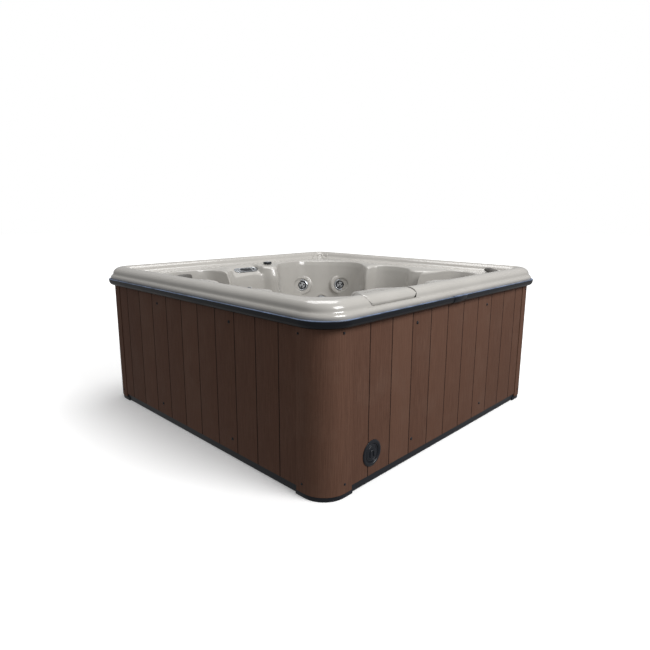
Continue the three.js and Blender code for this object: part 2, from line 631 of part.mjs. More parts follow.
function makeFilter() {
  const form = (inset) => solid(alongX(lidSection(inset), LID.x - 300, LID.x + 300))
    .intersect(solid(prism(lidPlan(-inset), 800, 1000)));
  const slot = solid(box(LID.x - 125, LID.x + 125, -947, -936, 880, 1000));
  add('filter_lid', cut(form(0), form(LID.t), slot), ACRYLIC);

  const { x, y, r, bottom, cartridgeTop } = FILTER;
  const top = DECK_Z - 2;
  const cup = solid(drum(r, bottom, top, 20).translate(x, y, 0));
  const cavity = solid(drum(r - 4, bottom + 5, top + 20, 20).translate(x, y, 0));
  const side = MOUTH.half + 5;
  const throat = solid(box(x - side, x + side, y, -786, MOUTH.low - 6, MOUTH.high + 6));
  const passage = solid(box(x - MOUTH.half, x + MOUTH.half, y, -700, MOUTH.low, MOUTH.high));
  const portPlace = new THREE.Vector3(x, y, bottom + 40);
  const port = solid(aim(drum(16, 0, 90, 16), portPlace, new THREE.Vector3(1, 0, 0)));
  add('filter_housing', cut(join(cup, throat), cavity, passage, port), WHITE);
  const pleats = turned([
    [16, bottom + 8], [r - 9, bottom + 8], [r - 9, cartridgeTop], [16, cartridgeTop],
  ], 20);
  add('filter_cartridge', pleats.translate(x, y, 0), PAPER);
  const flap = box(x - MOUTH.half + 3, x + MOUTH.half - 3, -796, -791, MOUTH.low + 3, MOUTH.high - 3);
  add('skimmer_weir', flap, WHITE);
}

// ---------------------------------------------------------------- pillows, suctions and light
// Plans as [distance from the centre, offset along the corner]: the left pad fills the corner of its bay,
// the right one is a straight bolster on the deck behind its seat.
const LEFT_PAD = {
  front: 908,
  back: [[934, 138], [962, 116], [986, 80], [1000, 42], [1005, 0]],
  z: [744, 850],
};
const RIGHT_PAD = { reach: 1167, long: 226, thick: 56, z: [DECK_Z + 1.5, 898] };

function makePillows() {
  const { front, back } = LEFT_PAD;
  const half = [[front + 12, 141], [front + 3, 137], [front, 126]];
  const right = [...back.slice().reverse(), ...half];
  const plan = [...right, ...right.slice(1).map(([r, s]) => [r, -s]).reverse()];
  add('pillow_left', turnedZ(prism(plan, ...LEFT_PAD.z), 135), CHARCOAL);
  const { reach, long, thick, z } = RIGHT_PAD;
  const bolster = prism(roundedRect(thick / 2, long / 2, thick / 2 - 2, 5), ...z).translate(reach, 0, 0);
  add('pillow_right', turnedZ(bolster, 315), CHARCOAL);
}

const SUCTIONS = [['left', -180], ['right', 180]].map(([name, x]) => ({ name, x, y: 380, z: 235, r: 48 }));
const LIGHT = { x: -384, y: 0, z: 260, r: 44 };

function wallFitting(name, spot, normal, profile, look) {
  add(name, aim(turned(profile, 18), new THREE.Vector3(spot.x, spot.y, spot.z), normal), look);
}

function makeFootwellFittings() {
  const inwardY = new THREE.Vector3(0, -1, 0);
  for (const spot of SUCTIONS) {
    const face = [[0, -46], [20, -46], [20, 6], [spot.r, 6], [spot.r - 3, 12], [20, 20], [0, 21]];
    wallFitting(`suction_cover_${spot.name}`, spot, inwardY, face, GREY);
  }
  const lens = [[0, -60], [26, -60], [26, 6], [LIGHT.r, 6], [LIGHT.r - 4, 13], [0, 18]];
  wallFitting('light_lens', LIGHT, new THREE.Vector3(1, 0, 0), lens, CLEAR);
}

// ---------------------------------------------------------------- shell with its openings
function makeShell() {
  const jets = JETS.map(([, place]) => jetTools(place));
  let shell = join(shellBlank(), ...jets.map((jet) => jet.boss));
  shell = cut(shell, ...jets.map((jet) => jet.dish), ...jets.map((jet) => jet.bore));
  const side = LID.wide + 20;
  const ledge = box(LID.x - side, LID.x + side, LID.yOut - 4, LID.yIn + 30, DECK_Z - 9, DECK_Z);
  const lidPocket = solid(prism(lidPlan(2), DECK_Z, 1000));
  shell = join(cut(shell, lidPocket), solid(ledge));
  const canister = drum(FILTER.r + 1.5, 400, 1000, 20).translate(FILTER.x, FILTER.y, 0);
  const reach = MOUTH.half + GAP;
  const mouth = box(FILTER.x - reach, FILTER.x + reach, -860, -700, MOUTH.low, MOUTH.high);
  const behind = reach + 6; // room for the housing's throat behind the wall
  const throat = box(FILTER.x - behind, FILTER.x + behind, -880, -785.6, MOUTH.low - 7, MOUTH.high + 7);
  const diverter = drum(18.5, 700, 900, 18).translate(DIVERTER.x, DIVERTER.y, 0);
  const air = drum(12.5, 700, 900, 14).translate(AIR.x, AIR.y, 0);
  const bore = ({ x, y, z }, r, normal) => aim(drum(r, -80, 80, 18), new THREE.Vector3(x, y, z), normal);
  const suctions = SUCTIONS.map((spot) => bore(spot, 20 + GAP, new THREE.Vector3(0, -1, 0)));
  const light = bore(LIGHT, 26 + GAP, new THREE.Vector3(1, 0, 0));
  const holes = [canister, mouth, throat, diverter, air].map(solid);
  shell = cut(shell, ...holes, panelCut(), ...[...suctions, light].map(solid));
  add('shell', shell, ACRYLIC);
}

// ---------------------------------------------------------------- drain
function makeDrain() {
  const outwards = new THREE.Vector3(0, -1, 0);
  const place = new THREE.Vector3(DRAIN.x, -PANEL_HALF, DRAIN.z);
  const neck = DRAIN.r - 13;
  const flange = solid(turned([
    [20, -34], [neck, -34], [neck, GAP], [DRAIN.r, GAP], [DRAIN.r - 2, 4], [neck, 6],
    [neck - 2, 3], [neck - 8, 3], [neck - 8, -24], [20, -24],
  ], 28));
  add('drain_flange', aim(geometryOf(flange), place, outwards), BLACK);
  const disc = solid(turned([[0, -16], [neck - 9, -16], [neck - 9, 1], [neck - 13, 3], [0, 3]], 28));
  const handle = solid(aim(new THREE.ExtrudeGeometry(
    new THREE.Shape(roundedRect(13, 17, 11, 4).map(([px, py]) => new THREE.Vector2(px, py))),
    { depth: 8, bevelEnabled: false },
  ), new THREE.Vector3(0, 0, -1), new THREE.Vector3(0, 0, 1)));
  const finger = solid(prism(roundedRect(8, 11, 6, 4), 3.2, 20).translate(0, -3, 0));
  add('drain_cap', aim(geometryOf(cut(join(disc, handle), finger)), place, outwards), BLACK);
}

// ---------------------------------------------------------------- equipment under the seats
const PUMP = { x: 250, y: 760, z: 152 }; // middle of the impeller; the shaft runs along X

function makePump() {
  const along = new THREE.Vector3(1, 0, 0);
  const place = new THREE.Vector3(PUMP.x, PUMP.y, PUMP.z);
  const volute = solid(aim(turned([
    [26, -34], [84, -34], [84, 30], [12, 30], [12, 22], [74, 22], [74, -24], [26, -24],
  ], 18), new THREE.Vector3(), along));
  const nozzle = solid(drum(24, 60, 130, 12));
  const bore = solid(drum(18, 40, 160, 12));
  const foot = solid(box(-30, 26, -60, 60, -PUMP.z + FLOOR_TOP + 1, -76));
  const chamber = solid(aim(drum(74, -23, 21, 18), new THREE.Vector3(), along));
  const wet = cut(join(volute, nozzle, foot), bore, chamber);
  add('pump_wet_end', geometryOf(wet).translate(PUMP.x, PUMP.y, PUMP.z), BLACK);
  const impeller = turned([
    [0, -30], [16, -30], [18, -14], [64, -8], [64, 6], [10, 14], [8, 14], [8, 40], [0, 40],
  ], 18);
  add('pump_impeller', aim(impeller, place, along), GREY);
  const motor = solid(aim(turned([
    [9, 31], [70, 31], [78, 44], [78, 262], [60, 284], [0, 284], [0, 46], [9, 46],
  ], 18), new THREE.Vector3(), along));
  const base = solid(box(70, 230, -62, 62, -PUMP.z + FLOOR_TOP + 1, -70));
  add('pump_motor', geometryOf(join(motor, base)).translate(PUMP.x, PUMP.y, PUMP.z), BLACK);
}

const HEATER = { x0: -420, x1: -60, y: 760, z: 300, r: 34 };
const PIPE = { r: 17, steps: 14 };

// Round bar along a path.
function pipe(points) {
  const knots = points.map(([x, y, z]) => new THREE.Vector3(x, y, z));
  const path = new THREE.CatmullRomCurve3(knots, false, 'catmullrom', 0.5);
  const disc = new THREE.Shape(Array.from({ length: 8 }, (_, i) => new THREE.Vector2(
    PIPE.r * Math.cos(45 * i * DEG), PIPE.r * Math.sin(45 * i * DEG),
  )));
  return new THREE.ExtrudeGeometry(disc, { steps: PIPE.steps, bevelEnabled: false, extrudePath: path });
}

function makeEquipment() {
  makePump();
  const long = HEATER.x1 - HEATER.x0;
  const union = HEATER.r + 8; // collar at each end
  const tube = aim(turned([
    [24, 0], [union, 0], [union, 18], [HEATER.r, 18], [HEATER.r, long - 18], [union, long - 18],
    [union, long], [24, long],
  ], 20), new THREE.Vector3(HEATER.x0, HEATER.y, HEATER.z), new THREE.Vector3(1, 0, 0));
  add('heater', tube, STEEL);
  const cabinet = solid(box(-420, -90, 660, 850, FLOOR_TOP + 1, 250));
  const glandPlace = new THREE.Vector3(-255, 850, 60);
  const outwards = new THREE.Vector3(0, 1, 0);
  const glandHole = solid(aim(drum(11, -20, 20, 16), glandPlace, outwards));
  add('control_box', cut(cabinet, glandHole), GREY);
  const collar = turned([[5, -8], [10.4, -8], [10.4, 1], [16, 1], [16, 9], [11, 20], [5, 20]], 16);
  add('cable_gland', aim(collar, glandPlace, outwards), BLACK);
  const { x, y, z } = PUMP;
  add('suction_pipe', pipe([
    [x - 38, y, z], [x - 90, y, z], [60, 700, 200], [0, 600, 235], [-60, 520, 235], [-170, 470, 235],
    [-180, 430, 235],
  ]), WHITE);
  add('pressure_pipe', pipe([
    [x, y, z + 132], [x, y, z + 165], [x - 60, y, 345], [60, y, 318], [0, y, HEATER.z],
    [HEATER.x1 + 1, y, HEATER.z],
  ]), WHITE);
}

tub.name = 'hot_tub';
makeBasePan();
makeFrame();
makePanels();
makeTrim();
makeJoiners();
makeShell();
makeFilter();
makePanel();
makeKnobs();
makeJets();
makePillows();
makeFootwellFittings();
makeDrain();
makeEquipment();

export default tub;
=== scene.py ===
import math

import bmesh
import bpy
import numpy as np
from mathutils import Matrix, Vector


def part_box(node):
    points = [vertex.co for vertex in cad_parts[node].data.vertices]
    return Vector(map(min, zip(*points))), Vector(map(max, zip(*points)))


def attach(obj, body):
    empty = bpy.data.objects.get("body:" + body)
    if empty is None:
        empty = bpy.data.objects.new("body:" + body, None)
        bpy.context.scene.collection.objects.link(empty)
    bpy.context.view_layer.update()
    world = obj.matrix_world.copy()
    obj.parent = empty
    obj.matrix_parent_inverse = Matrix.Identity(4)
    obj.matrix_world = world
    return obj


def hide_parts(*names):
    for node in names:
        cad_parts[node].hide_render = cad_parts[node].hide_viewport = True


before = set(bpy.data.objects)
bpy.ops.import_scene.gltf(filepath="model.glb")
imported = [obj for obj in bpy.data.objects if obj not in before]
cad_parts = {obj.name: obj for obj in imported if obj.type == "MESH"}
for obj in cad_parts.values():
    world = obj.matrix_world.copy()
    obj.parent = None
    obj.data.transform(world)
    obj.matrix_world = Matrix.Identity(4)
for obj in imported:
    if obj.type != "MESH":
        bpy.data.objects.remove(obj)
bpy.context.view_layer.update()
scene = bpy.context.scene

# ---------------------------------------------------------------- sizes
# Every shape below is in millimetres; object_from() turns it into metres.
MM = 0.001
UP = Vector((0, 0, 1))
FORWARD = Vector((0, -1, 0))  # out of the front of the tub


def box(node):
    """Corners of a CAD node's box, in millimetres."""
    return tuple(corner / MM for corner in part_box(node))


def centre(node):
    low, high = box(node)
    return (low + high) / 2


def half_size(node):
    low, high = box(node)
    return (high - low) / 2


HALF = box("trim_right_half")[1].x  # half of the overall width, over the edge trim
CREST = box("shell")[1].z  # top of the rim roll
DECK = 868
EDGE_RADIUS = 170  # plan radius of the outer corners
CABINET_HALF = box("corner_panel_back_right")[1].x
PANEL_HALF = box("side_panel_right")[1].x
PANEL_LOW, PANEL_TOP = (corner.z for corner in box("side_panel_right"))
SEAT = 428
CANISTER_RADIUS = 66  # of the filter housing
THROAT_HEIGHT = 810  # middle of the skimmer's throat


# ---------------------------------------------------------------- camera
def make_camera():
    """The viewpoint is off the near corner, a little above the rim, looking slightly down."""
    yaw, pitch, roll = (math.radians(a) for a in (44.717, 11.362, 0.092))
    forward = Vector((math.cos(yaw) * math.cos(pitch), math.sin(yaw) * math.cos(pitch), -math.sin(pitch)))
    level = Vector((math.sin(yaw), -math.cos(yaw), 0))
    over = level.cross(forward)
    right = math.cos(roll) * level + math.sin(roll) * over
    up = right.cross(forward)
    data = bpy.data.cameras.new("camera")
    data.sensor_width = 36
    data.lens = 28.275
    data.shift_x = 0.0111
    data.shift_y = -0.0154
    camera = bpy.data.objects.new("camera", data)
    turn = Matrix((right, up, -forward)).transposed().to_4x4()
    camera.matrix_world = Matrix.Translation((-2.4859, -2.4285, 1.2751)) @ turn
    scene.collection.objects.link(camera)
    scene.camera = camera


make_camera()


# ---------------------------------------------------------------- materials
class Paint:
    """A procedural material on the Principled shader."""

    def __init__(self, name, **constants):
        self.material = bpy.data.materials.new(name)
        self.material.use_nodes = True
        self.tree = self.material.node_tree
        self.shader = self.tree.nodes["Principled BSDF"]
        for socket, value in constants.items():
            self.shader.inputs[socket.replace("_", " ")].default_value = value
        self.place = self.node("ShaderNodeTexCoord").outputs["Object"]
        self.normal = None

    def node(self, kind, **settings):
        made = self.tree.nodes.new(kind)
        for key, value in settings.items():
            setattr(made, key, value)
        return made

    def plug(self, socket, value):
        """Links the value to the socket, or sets it there as a constant."""
        if isinstance(value, bpy.types.NodeSocket):
            self.tree.links.new(value, socket)
        else:
            socket.default_value = value

    def feed(self, node, **values):
        for key, value in values.items():
            self.plug(node.inputs[key.replace("_", " ")], value)
        return node

    def attribute(self, name):
        return self.node("ShaderNodeAttribute", attribute_name=name).outputs["Fac"]

    def stretched(self, x, y, z):
        return self.feed(self.node("ShaderNodeMapping"), Vector=self.place, Scale=(x, y, z)).outputs[0]

    def noise(self, scale=1.0, detail=4.0, rough=0.5, stretch=None, distortion=0.0):
        made = self.feed(
            self.node("ShaderNodeTexNoise"), Vector=self.stretched(*stretch) if stretch else self.place,
            Scale=scale, Detail=detail, Roughness=rough, Distortion=distortion,
        )
        return made.outputs["Fac"]

    def cells(self, scale):
        made = self.feed(self.node("ShaderNodeTexVoronoi"), Vector=self.place, Scale=scale)
        return made.outputs["Distance"]

    def span(self, value, low, high, start=0.0, end=1.0):
        made = self.node("ShaderNodeMapRange")
        self.feed(made, Value=value, From_Min=low, From_Max=high, To_Min=start, To_Max=end)
        return made.outputs[0]

    def mix(self, factor, low, high):
        made = self.node("ShaderNodeMix", data_type="RGBA")
        for index, value in ((0, factor), (6, low), (7, high)):
            self.plug(made.inputs[index], value)
        return made.outputs[2]

    def layer(self, tone, mask, low, high, share, colour):
        """Lays a share of the colour over the tone where the mask runs from low to high."""
        return self.mix(self.span(mask, low, high, 0, share), tone, colour)

    def product(self, a, b):
        made = self.node("ShaderNodeMath", operation="MULTIPLY")
        for index, value in enumerate((a, b)):
            self.plug(made.inputs[index], value)
        return made.outputs[0]

    def bump(self, height, distance, strength=1.0):
        made = self.feed(self.node("ShaderNodeBump"), Height=height, Distance=distance, Strength=strength)
        if self.normal:
            self.tree.links.new(self.normal, made.inputs["Normal"])
        self.normal = made.outputs[0]

    def done(self, colour=None, rough=None):
        for name, value in (("Base Color", colour), ("Roughness", rough), ("Normal", self.normal)):
            if value is not None:
                self.tree.links.new(value, self.shader.inputs[name])
        return self.material


def rgb(red, green, blue):
    """Linear colour from display values of 0 to 255."""
    return tuple(((v / 255 + 0.055) / 1.055) ** 2.4 for v in (red, green, blue)) + (1.0,)


def acrylic_paint():
    paint = Paint("pearl_acrylic", IOR=1.49, Coat_Weight=0.35, Coat_Roughness=0.06)
    cloud = paint.noise(2.4, detail=5, distortion=1.2)
    marble = paint.noise(9.0, detail=8, rough=0.62, distortion=1.6)
    flake = paint.noise(1500, detail=1)
    tone = paint.mix(paint.span(cloud, 0.3, 0.7), rgb(160, 157, 152), rgb(165, 162, 157))
    tone = paint.layer(tone, marble, 0.44, 0.64, 0.14, rgb(152, 149, 144))
    tone = paint.layer(tone, flake, 0.55, 0.75, 0.16, rgb(200, 199, 196))
    scuff = paint.noise(34, detail=9, rough=0.7)
    paint.bump(flake, 0.00002, 0.3)
    return paint.done(tone, paint.span(scuff, 0.35, 0.7, 0.2, 0.27))


def cabinet_paint():
    paint = Paint("embossed_brown_plank", Specular_IOR_Level=0.12)
    grain = paint.noise(detail=7, rough=0.62, stretch=(210, 210, 7), distortion=0.35)
    pores = paint.noise(detail=3, rough=0.5, stretch=(900, 900, 26))
    figure = paint.noise(detail=3, rough=0.5, stretch=(26, 26, 1.1), distortion=1.5)
    tone = paint.attribute("plank")
    brown = paint.mix(paint.span(grain, 0.32, 0.68), rgb(78, 54, 43), rgb(97, 69, 56))
    brown = paint.layer(brown, figure, 0.35, 0.7, 0.45, rgb(84, 59, 48))
    brown = paint.layer(brown, pores, 0.58, 0.72, 0.6, rgb(58, 39, 31))
    brown = paint.layer(brown, tone, 0, 1, 0.35, rgb(104, 76, 62))
    dust = paint.noise(5, detail=6, rough=0.6)
    brown = paint.layer(brown, dust, 0.5, 0.8, 0.12, rgb(126, 108, 96))
    # Painted shade: the flanks of the V grooves are darkened near black, as if shadowed inside the grooves.
    groove_shade = paint.attribute("groove_shade")
    brown = paint.mix(groove_shade, brown, rgb(30, 20, 16))
    paint.bump(grain, 0.0012, 0.45)
    paint.bump(pores, 0.0006, 0.5)
    return paint.done(brown, paint.span(grain, 0.3, 0.7, 0.74, 0.6))


def moulded_paint(name, low, high, grain=900, rough=(0.34, 0.5), depth=0.00012, **constants):
    """Moulded plastic with a fine spark-eroded grain and slight wear."""
    paint = Paint(name, **constants)
    drift = paint.noise(8, detail=6, rough=0.6)
    skin = paint.cells(grain)
    scratch = paint.noise(detail=5, rough=0.7, stretch=(40, 300, 90), distortion=0.8)
    tone = paint.mix(paint.span(drift, 0.3, 0.7), low, high)
    wear_and_highlight = tuple(min(1, 1.6 * v + 0.01) for v in high)
    tone = paint.layer(tone, scratch, 0.62, 0.8, 0.25, wear_and_highlight)
    paint.bump(skin, depth, 0.5)
    paint.bump(scratch, 0.0001, 0.3)
    return paint.done(tone, paint.span(drift, 0.3, 0.7, *rough))


def trim_paint():
    """Extruded vinyl: near black, with a painted lighter blue-grey highlight along its upper edge, where it
    catches the light.
    """
    paint = Paint("extruded_vinyl", Specular_IOR_Level=0.25)
    drift = paint.noise(6, detail=6, rough=0.6)
    tone = paint.mix(paint.span(drift, 0.3, 0.7), rgb(11, 13, 19), rgb(17, 20, 27))
    height = paint.feed(paint.node("ShaderNodeSeparateXYZ"), Vector=paint.place).outputs["Z"]
    # Painted highlight: a lighter blue-grey band along the top edge, broken up by noise, standing in for the
    # light the edge catches.
    top_edge_highlight = paint.span(height, 0.8345, 0.8375)  # from the trim's top edge up, in metres
    wear_and_highlight = paint.product(top_edge_highlight, paint.span(paint.noise(16, detail=6), 0.25, 0.6, 0.35, 1))
    tone = paint.mix(wear_and_highlight, tone, rgb(106, 121, 148))
    paint.bump(paint.cells(800), 0.0001, 0.4)
    return paint.done(tone, paint.span(drift, 0.3, 0.7, 0.24, 0.36))


def pillow_paint():
    paint = Paint("skinned_foam", Sheen_Weight=0.12, Sheen_Roughness=0.5)
    pebble = paint.cells(420)
    crease = paint.noise(30, detail=7, rough=0.6, distortion=0.6)
    tone = paint.mix(paint.span(crease, 0.3, 0.7), rgb(52, 49, 45), rgb(68, 64, 59))
    tone = paint.mix(paint.span(pebble, 0.0, 0.5, 0.35, 0), tone, rgb(40, 38, 35))
    paint.bump(pebble, 0.0005, 0.5)
    paint.bump(crease, 0.0012, 0.35)
    return paint.done(tone, paint.span(crease, 0.3, 0.7, 0.55, 0.72))


def timber_paint():
    paint = Paint("sawn_softwood")
    rings = paint.node("ShaderNodeTexWave", wave_type="RINGS", rings_direction="Z")
    paint.feed(rings, Vector=paint.stretched(14, 14, 3), Scale=2.2, Distortion=4.0, Detail=4.0)
    fibre = paint.noise(detail=6, rough=0.6, stretch=(240, 240, 14))
    tone = paint.mix(rings.outputs["Fac"], rgb(196, 156, 106), rgb(164, 120, 76))
    tone = paint.layer(tone, fibre, 0.45, 0.75, 0.5, rgb(132, 94, 60))
    paint.bump(fibre, 0.0008, 0.5)
    return paint.done(tone, paint.span(fibre, 0.3, 0.7, 0.7, 0.9))


def steel_paint():
    paint = Paint("polished_stainless", Metallic=1.0)
    brushed = paint.noise(detail=4, stretch=(90, 90, 1400))
    water_marks = paint.noise(60, detail=6, rough=0.65)
    tone = paint.mix(paint.span(water_marks, 0.4, 0.7), rgb(204, 207, 211), rgb(178, 181, 185))
    paint.bump(brushed, 0.00004, 0.3)
    return paint.done(tone, paint.span(water_marks, 0.35, 0.7, 0.14, 0.32))


def fabric_paint():
    paint = Paint("pleated_polyester", Sheen_Weight=0.2)
    weave = paint.noise(detail=2, stretch=(1800, 1800, 1800))
    stain = paint.noise(14, detail=6)
    tone = paint.mix(paint.span(stain, 0.35, 0.75), rgb(232, 236, 238), rgb(205, 208, 204))
    paint.bump(weave, 0.0004, 0.5)
    return paint.done(tone, paint.span(weave, 0.3, 0.7, 0.8, 0.95))


def lens_paint():
    paint = Paint("clear_lens", Transmission_Weight=0.85, IOR=1.49)
    haze = paint.noise(90, detail=5)
    tone = paint.mix(haze, rgb(206, 218, 226), rgb(226, 234, 238))
    return paint.done(tone, paint.span(haze, 0.3, 0.7, 0.06, 0.2))


PAINTS = {
    "acrylic": acrylic_paint(),
    "cabinet_brown": cabinet_paint(),
    "black_plastic": moulded_paint(
        "satin_black", rgb(15, 18, 24), rgb(23, 26, 33), rough=(0.3, 0.44), Specular_IOR_Level=0.3,
    ),
    "edge_trim": trim_paint(),
    "pillow_charcoal": pillow_paint(),
    "timber": timber_paint(),
    "grey_plastic": moulded_paint("satin_grey", rgb(128, 130, 132), rgb(150, 152, 154), rough=(0.26, 0.4)),
    "stainless": steel_paint(),
    "white_pvc": moulded_paint("plain_pvc", rgb(222, 222, 218), rgb(236, 236, 232), grain=400),
    "filter_fabric": fabric_paint(),
    "clear_lens": lens_paint(),
    "display_black": moulded_paint(
        "dark_window", rgb(14, 16, 20), rgb(24, 27, 33), grain=2500, rough=(0.06, 0.14), depth=0.00002,
    ),
}


# ---------------------------------------------------------------- mesh helpers
def dressed(piece, slot, body="tub", crease=38, replaces=(), paint=None):
    """Smooth shading with sharp edges past `crease` degrees, a paint, and the body the piece rides on."""
    mesh = piece.data
    mesh.polygons.foreach_set("use_smooth", np.ones(len(mesh.polygons), bool))
    mesh.set_sharp_from_angle(angle=math.radians(crease))
    mesh.materials.clear()
    mesh.materials.append(PAINTS[paint or slot])
    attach(piece, body)
    if replaces:
        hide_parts(*replaces)
    return piece


def object_from(name, points, faces):
    """Mesh object with its faces turned outwards, from points in millimetres."""
    mesh = bpy.data.meshes.new(name)
    mesh.from_pydata((np.array([tuple(p) for p in points]) * MM).tolist(), [], faces)
    form = bmesh.new()
    form.from_mesh(mesh)
    bmesh.ops.remove_doubles(form, verts=form.verts, dist=1e-7)
    bmesh.ops.recalc_face_normals(form, faces=form.faces)
    form.to_mesh(mesh)
    form.free()
    piece = bpy.data.objects.new(name, mesh)
    scene.collection.objects.link(piece)
    return piece


def apply_modifiers(piece):
    graph = bpy.context.evaluated_depsgraph_get()
    mesh = bpy.data.meshes.new_from_object(piece.evaluated_get(graph))
    piece.modifiers.clear()
    old, piece.data = piece.data, mesh
    bpy.data.meshes.remove(old)


def combine(piece, tools, operation="DIFFERENCE"):
    """Cuts the tools out of the piece, or joins them to it, and removes them."""
    for tool in tools:
        step = piece.modifiers.new("combine", "BOOLEAN")
        step.object = tool
        step.operation = operation
        step.solver = "MANIFOLD"
        apply_modifiers(piece)
        bpy.data.objects.remove(tool)
    return piece


def bevelled(piece, width, segments, angle):
    step = piece.modifiers.new("bevel", "BEVEL")
    step.width = width * MM
    step.segments = segments
    step.limit_method = "ANGLE"
    step.angle_limit = math.radians(angle)
    apply_modifiers(piece)
    return piece


def rounded(points, radius, steps=4, closed=True):
    """2-D outline with its corners rounded by `radius`, or less where the sides are short."""
    points = [Vector(p) for p in points]
    made = []
    for i, corner in enumerate(points):
        if not closed and i in (0, len(points) - 1):
            made.append(corner)
            continue
        before = points[i - 1] - corner
        after = points[(i + 1) % len(points)] - corner
        half = before.angle(after) / 2
        reach = radius / math.tan(half) if half < math.pi / 2 - 1e-3 else 0
        reach = min(reach, 0.48 * before.length, 0.48 * after.length)
        if reach < 1e-3:
            made.append(corner)
            continue
        start, end = corner + before.normalized() * reach, corner + after.normalized() * reach
        for k in range(steps + 1):
            t = k / steps
            made.append((1 - t) ** 2 * start + 2 * t * (1 - t) * corner + t * t * end)
    return [tuple(p) for p in made]


def rounded_rect(half_x, half_y, radius, steps=8):
    return [
        (
            sx * (half_x - radius) + radius * math.cos(math.radians(first + 90 * i / steps)),
            sy * (half_y - radius) + radius * math.sin(math.radians(first + 90 * i / steps)),
        )
        for sx, sy, first in ((1, 1, 0), (-1, 1, 90), (-1, -1, 180), (1, -1, 270))
        for i in range(steps + 1)
    ]


def loft_faces(rings, around, closed=True):
    """Quads between neighbouring rings of `around` points each."""
    faces = []
    for r in range(rings - 1):
        for i in range(around if closed else around - 1):
            j = (i + 1) % around
            faces.append((r * around + i, r * around + j, (r + 1) * around + j, (r + 1) * around + i))
    return faces


def tube(name, rings):
    """Solid through rings of points, closed flat at both ends."""
    around = len(rings[0])
    last = (len(rings) - 1) * around
    ends = [tuple(range(around)), tuple(last + i for i in reversed(range(around)))]
    return object_from(name, [p for ring in rings for p in ring], loft_faces(len(rings), around) + ends)


def stacked(name, levels, place=None):
    """Solid through plan outlines of equal length, each given with its height."""
    place = place or Matrix.Identity(4)
    return tube(name, [[place @ Vector((x, y, z)) for x, y in outline] for outline, z in levels])


def prism(name, outline, low, high, place=None):
    return stacked(name, [(outline, low), (outline, high)], place)


def aimed(place, normal):
    """Matrix that carries the origin to `place` and +Z to `normal`."""
    return Matrix.Translation(Vector(place)) @ UP.rotation_difference(Vector(normal)).to_matrix().to_4x4()


def turned(name, profile, place=(0, 0, 0), normal=UP, segments=64):
    """Solid turned about the normal from (radius, height) points; it closes on the axis or on itself."""
    on_axis = profile[0][0] < 1e-4
    matrix = aimed(place, normal)
    turns = [2 * math.pi * i / segments for i in range(segments)]
    ring = profile if on_axis else [*profile, profile[0]]
    points = [matrix @ Vector((r * math.cos(a), r * math.sin(a), z)) for r, z in ring for a in turns]
    return object_from(name, points, loft_faces(len(ring), segments))


def drum(radius, low, high, place=(0, 0, 0), normal=UP, segments=64):
    """Plain round tool that cuts a hole or adds a boss."""
    return turned("drum", [(0, low), (radius, low), (radius, high), (0, high)], place, normal, segments)


def joined(name, pieces):
    """One object from several."""
    form = bmesh.new()
    for piece in pieces:
        part = piece.data.copy()
        part.transform(piece.matrix_world)
        form.from_mesh(part)
        bpy.data.meshes.remove(part)
        bpy.data.objects.remove(piece)
    mesh = bpy.data.meshes.new(name)
    form.to_mesh(mesh)
    form.free()
    whole = bpy.data.objects.new(name, mesh)
    scene.collection.objects.link(whole)
    return whole


def smooth(t):
    u = np.clip(t, 0, 1)
    return u * u * (3 - 2 * u)


def soft_min(a, b, k):
    """The lower of two heights, with the crossing rounded over about `k`."""
    h = np.clip(0.5 + 0.5 * (b - a) / k, 0, 1)
    return b * (1 - h) + a * h - k * h * (1 - h)


def hermite(t, p0, m0, p1, m1):
    return (
        (2 * t**3 - 3 * t**2 + 1) * p0 + (t**3 - 2 * t**2 + t) * m0
        + (3 * t**2 - 2 * t**3) * p1 + (t**3 - t**2) * m1
    )


# ---------------------------------------------------------------- shell
# Top edge of the seat backs: bays for the bathers with ridges between them, counter-clockwise from +X.
WALL_TOP = [
    (778, 20), (742, 98), (662, 138), (716, 216), (774, 306), (793, 433), (736, 612), (645, 704),
    (537, 783), (420, 792), (298, 772), (218, 712), (150, 640), (96, 650), (40, 700), (-200, 700),
    (-262, 700), (-330, 640), (-372, 714), (-432, 770), (-560, 786), (-672, 786), (-742, 742),
    (-786, 670), (-786, 540), (-774, 420), (-716, 322), (-656, 262), (-716, 202), (-768, 110), (-782, 0),
    (-768, -110), (-716, -202), (-656, -262), (-716, -322), (-772, -420), (-778, -540), (-744, -640),
    (-690, -700), (-620, -746), (-520, -768), (-400, -768), (-316, -716), (-256, -656), (-196, -716),
    (-100, -770), (20, -784), (120, -770), (204, -716), (262, -656), (322, -716), (430, -774),
    (560, -790), (668, -794), (742, -742), (800, -668), (808, -540), (780, -446), (716, -398), (640, -366), (694, -268), (762, -170),
]
# Rim section as (inset from the trim's face, height): lip, bead, cove, roll and inner foot.
RIM = [
    (9, 831), (17.5, 831.5), (14, 849), (20, 860), (28, 867), (33, 885), (45, 900), (60, 909),
    (84, CREST), (106, 911), (124, 896), (134, 878), (150, 868),
]
RIM_UNDER = [(9, 822), (58, 822), (64, 880), (84, 900), (108, 896), (124, 874), (146, 858)]
SHELL_THICKNESS = 10
FOOTWELL_HALF = 392

# The control panel's place on its ledge: middle, tilt, and the ledge's two ends.
PANEL_PLACE = Vector((-55, 770, 832))
PANEL_TILT = math.radians(23.4)
LEDGE = (-232, 62)

JET_AXIS = Vector((-1, -1, 0.3)).normalized()
JETS = {"left": Vector((527, 747, 660)), "right": Vector((748, 505, 666)), "lower": Vector((644, 627, 519))}
RECESS = 13  # depth of the dish round each jet
DISH, BOSS, PATCH = 51, 76, 96  # radii of the dish's floor, of the boss's flat top and of all that is formed


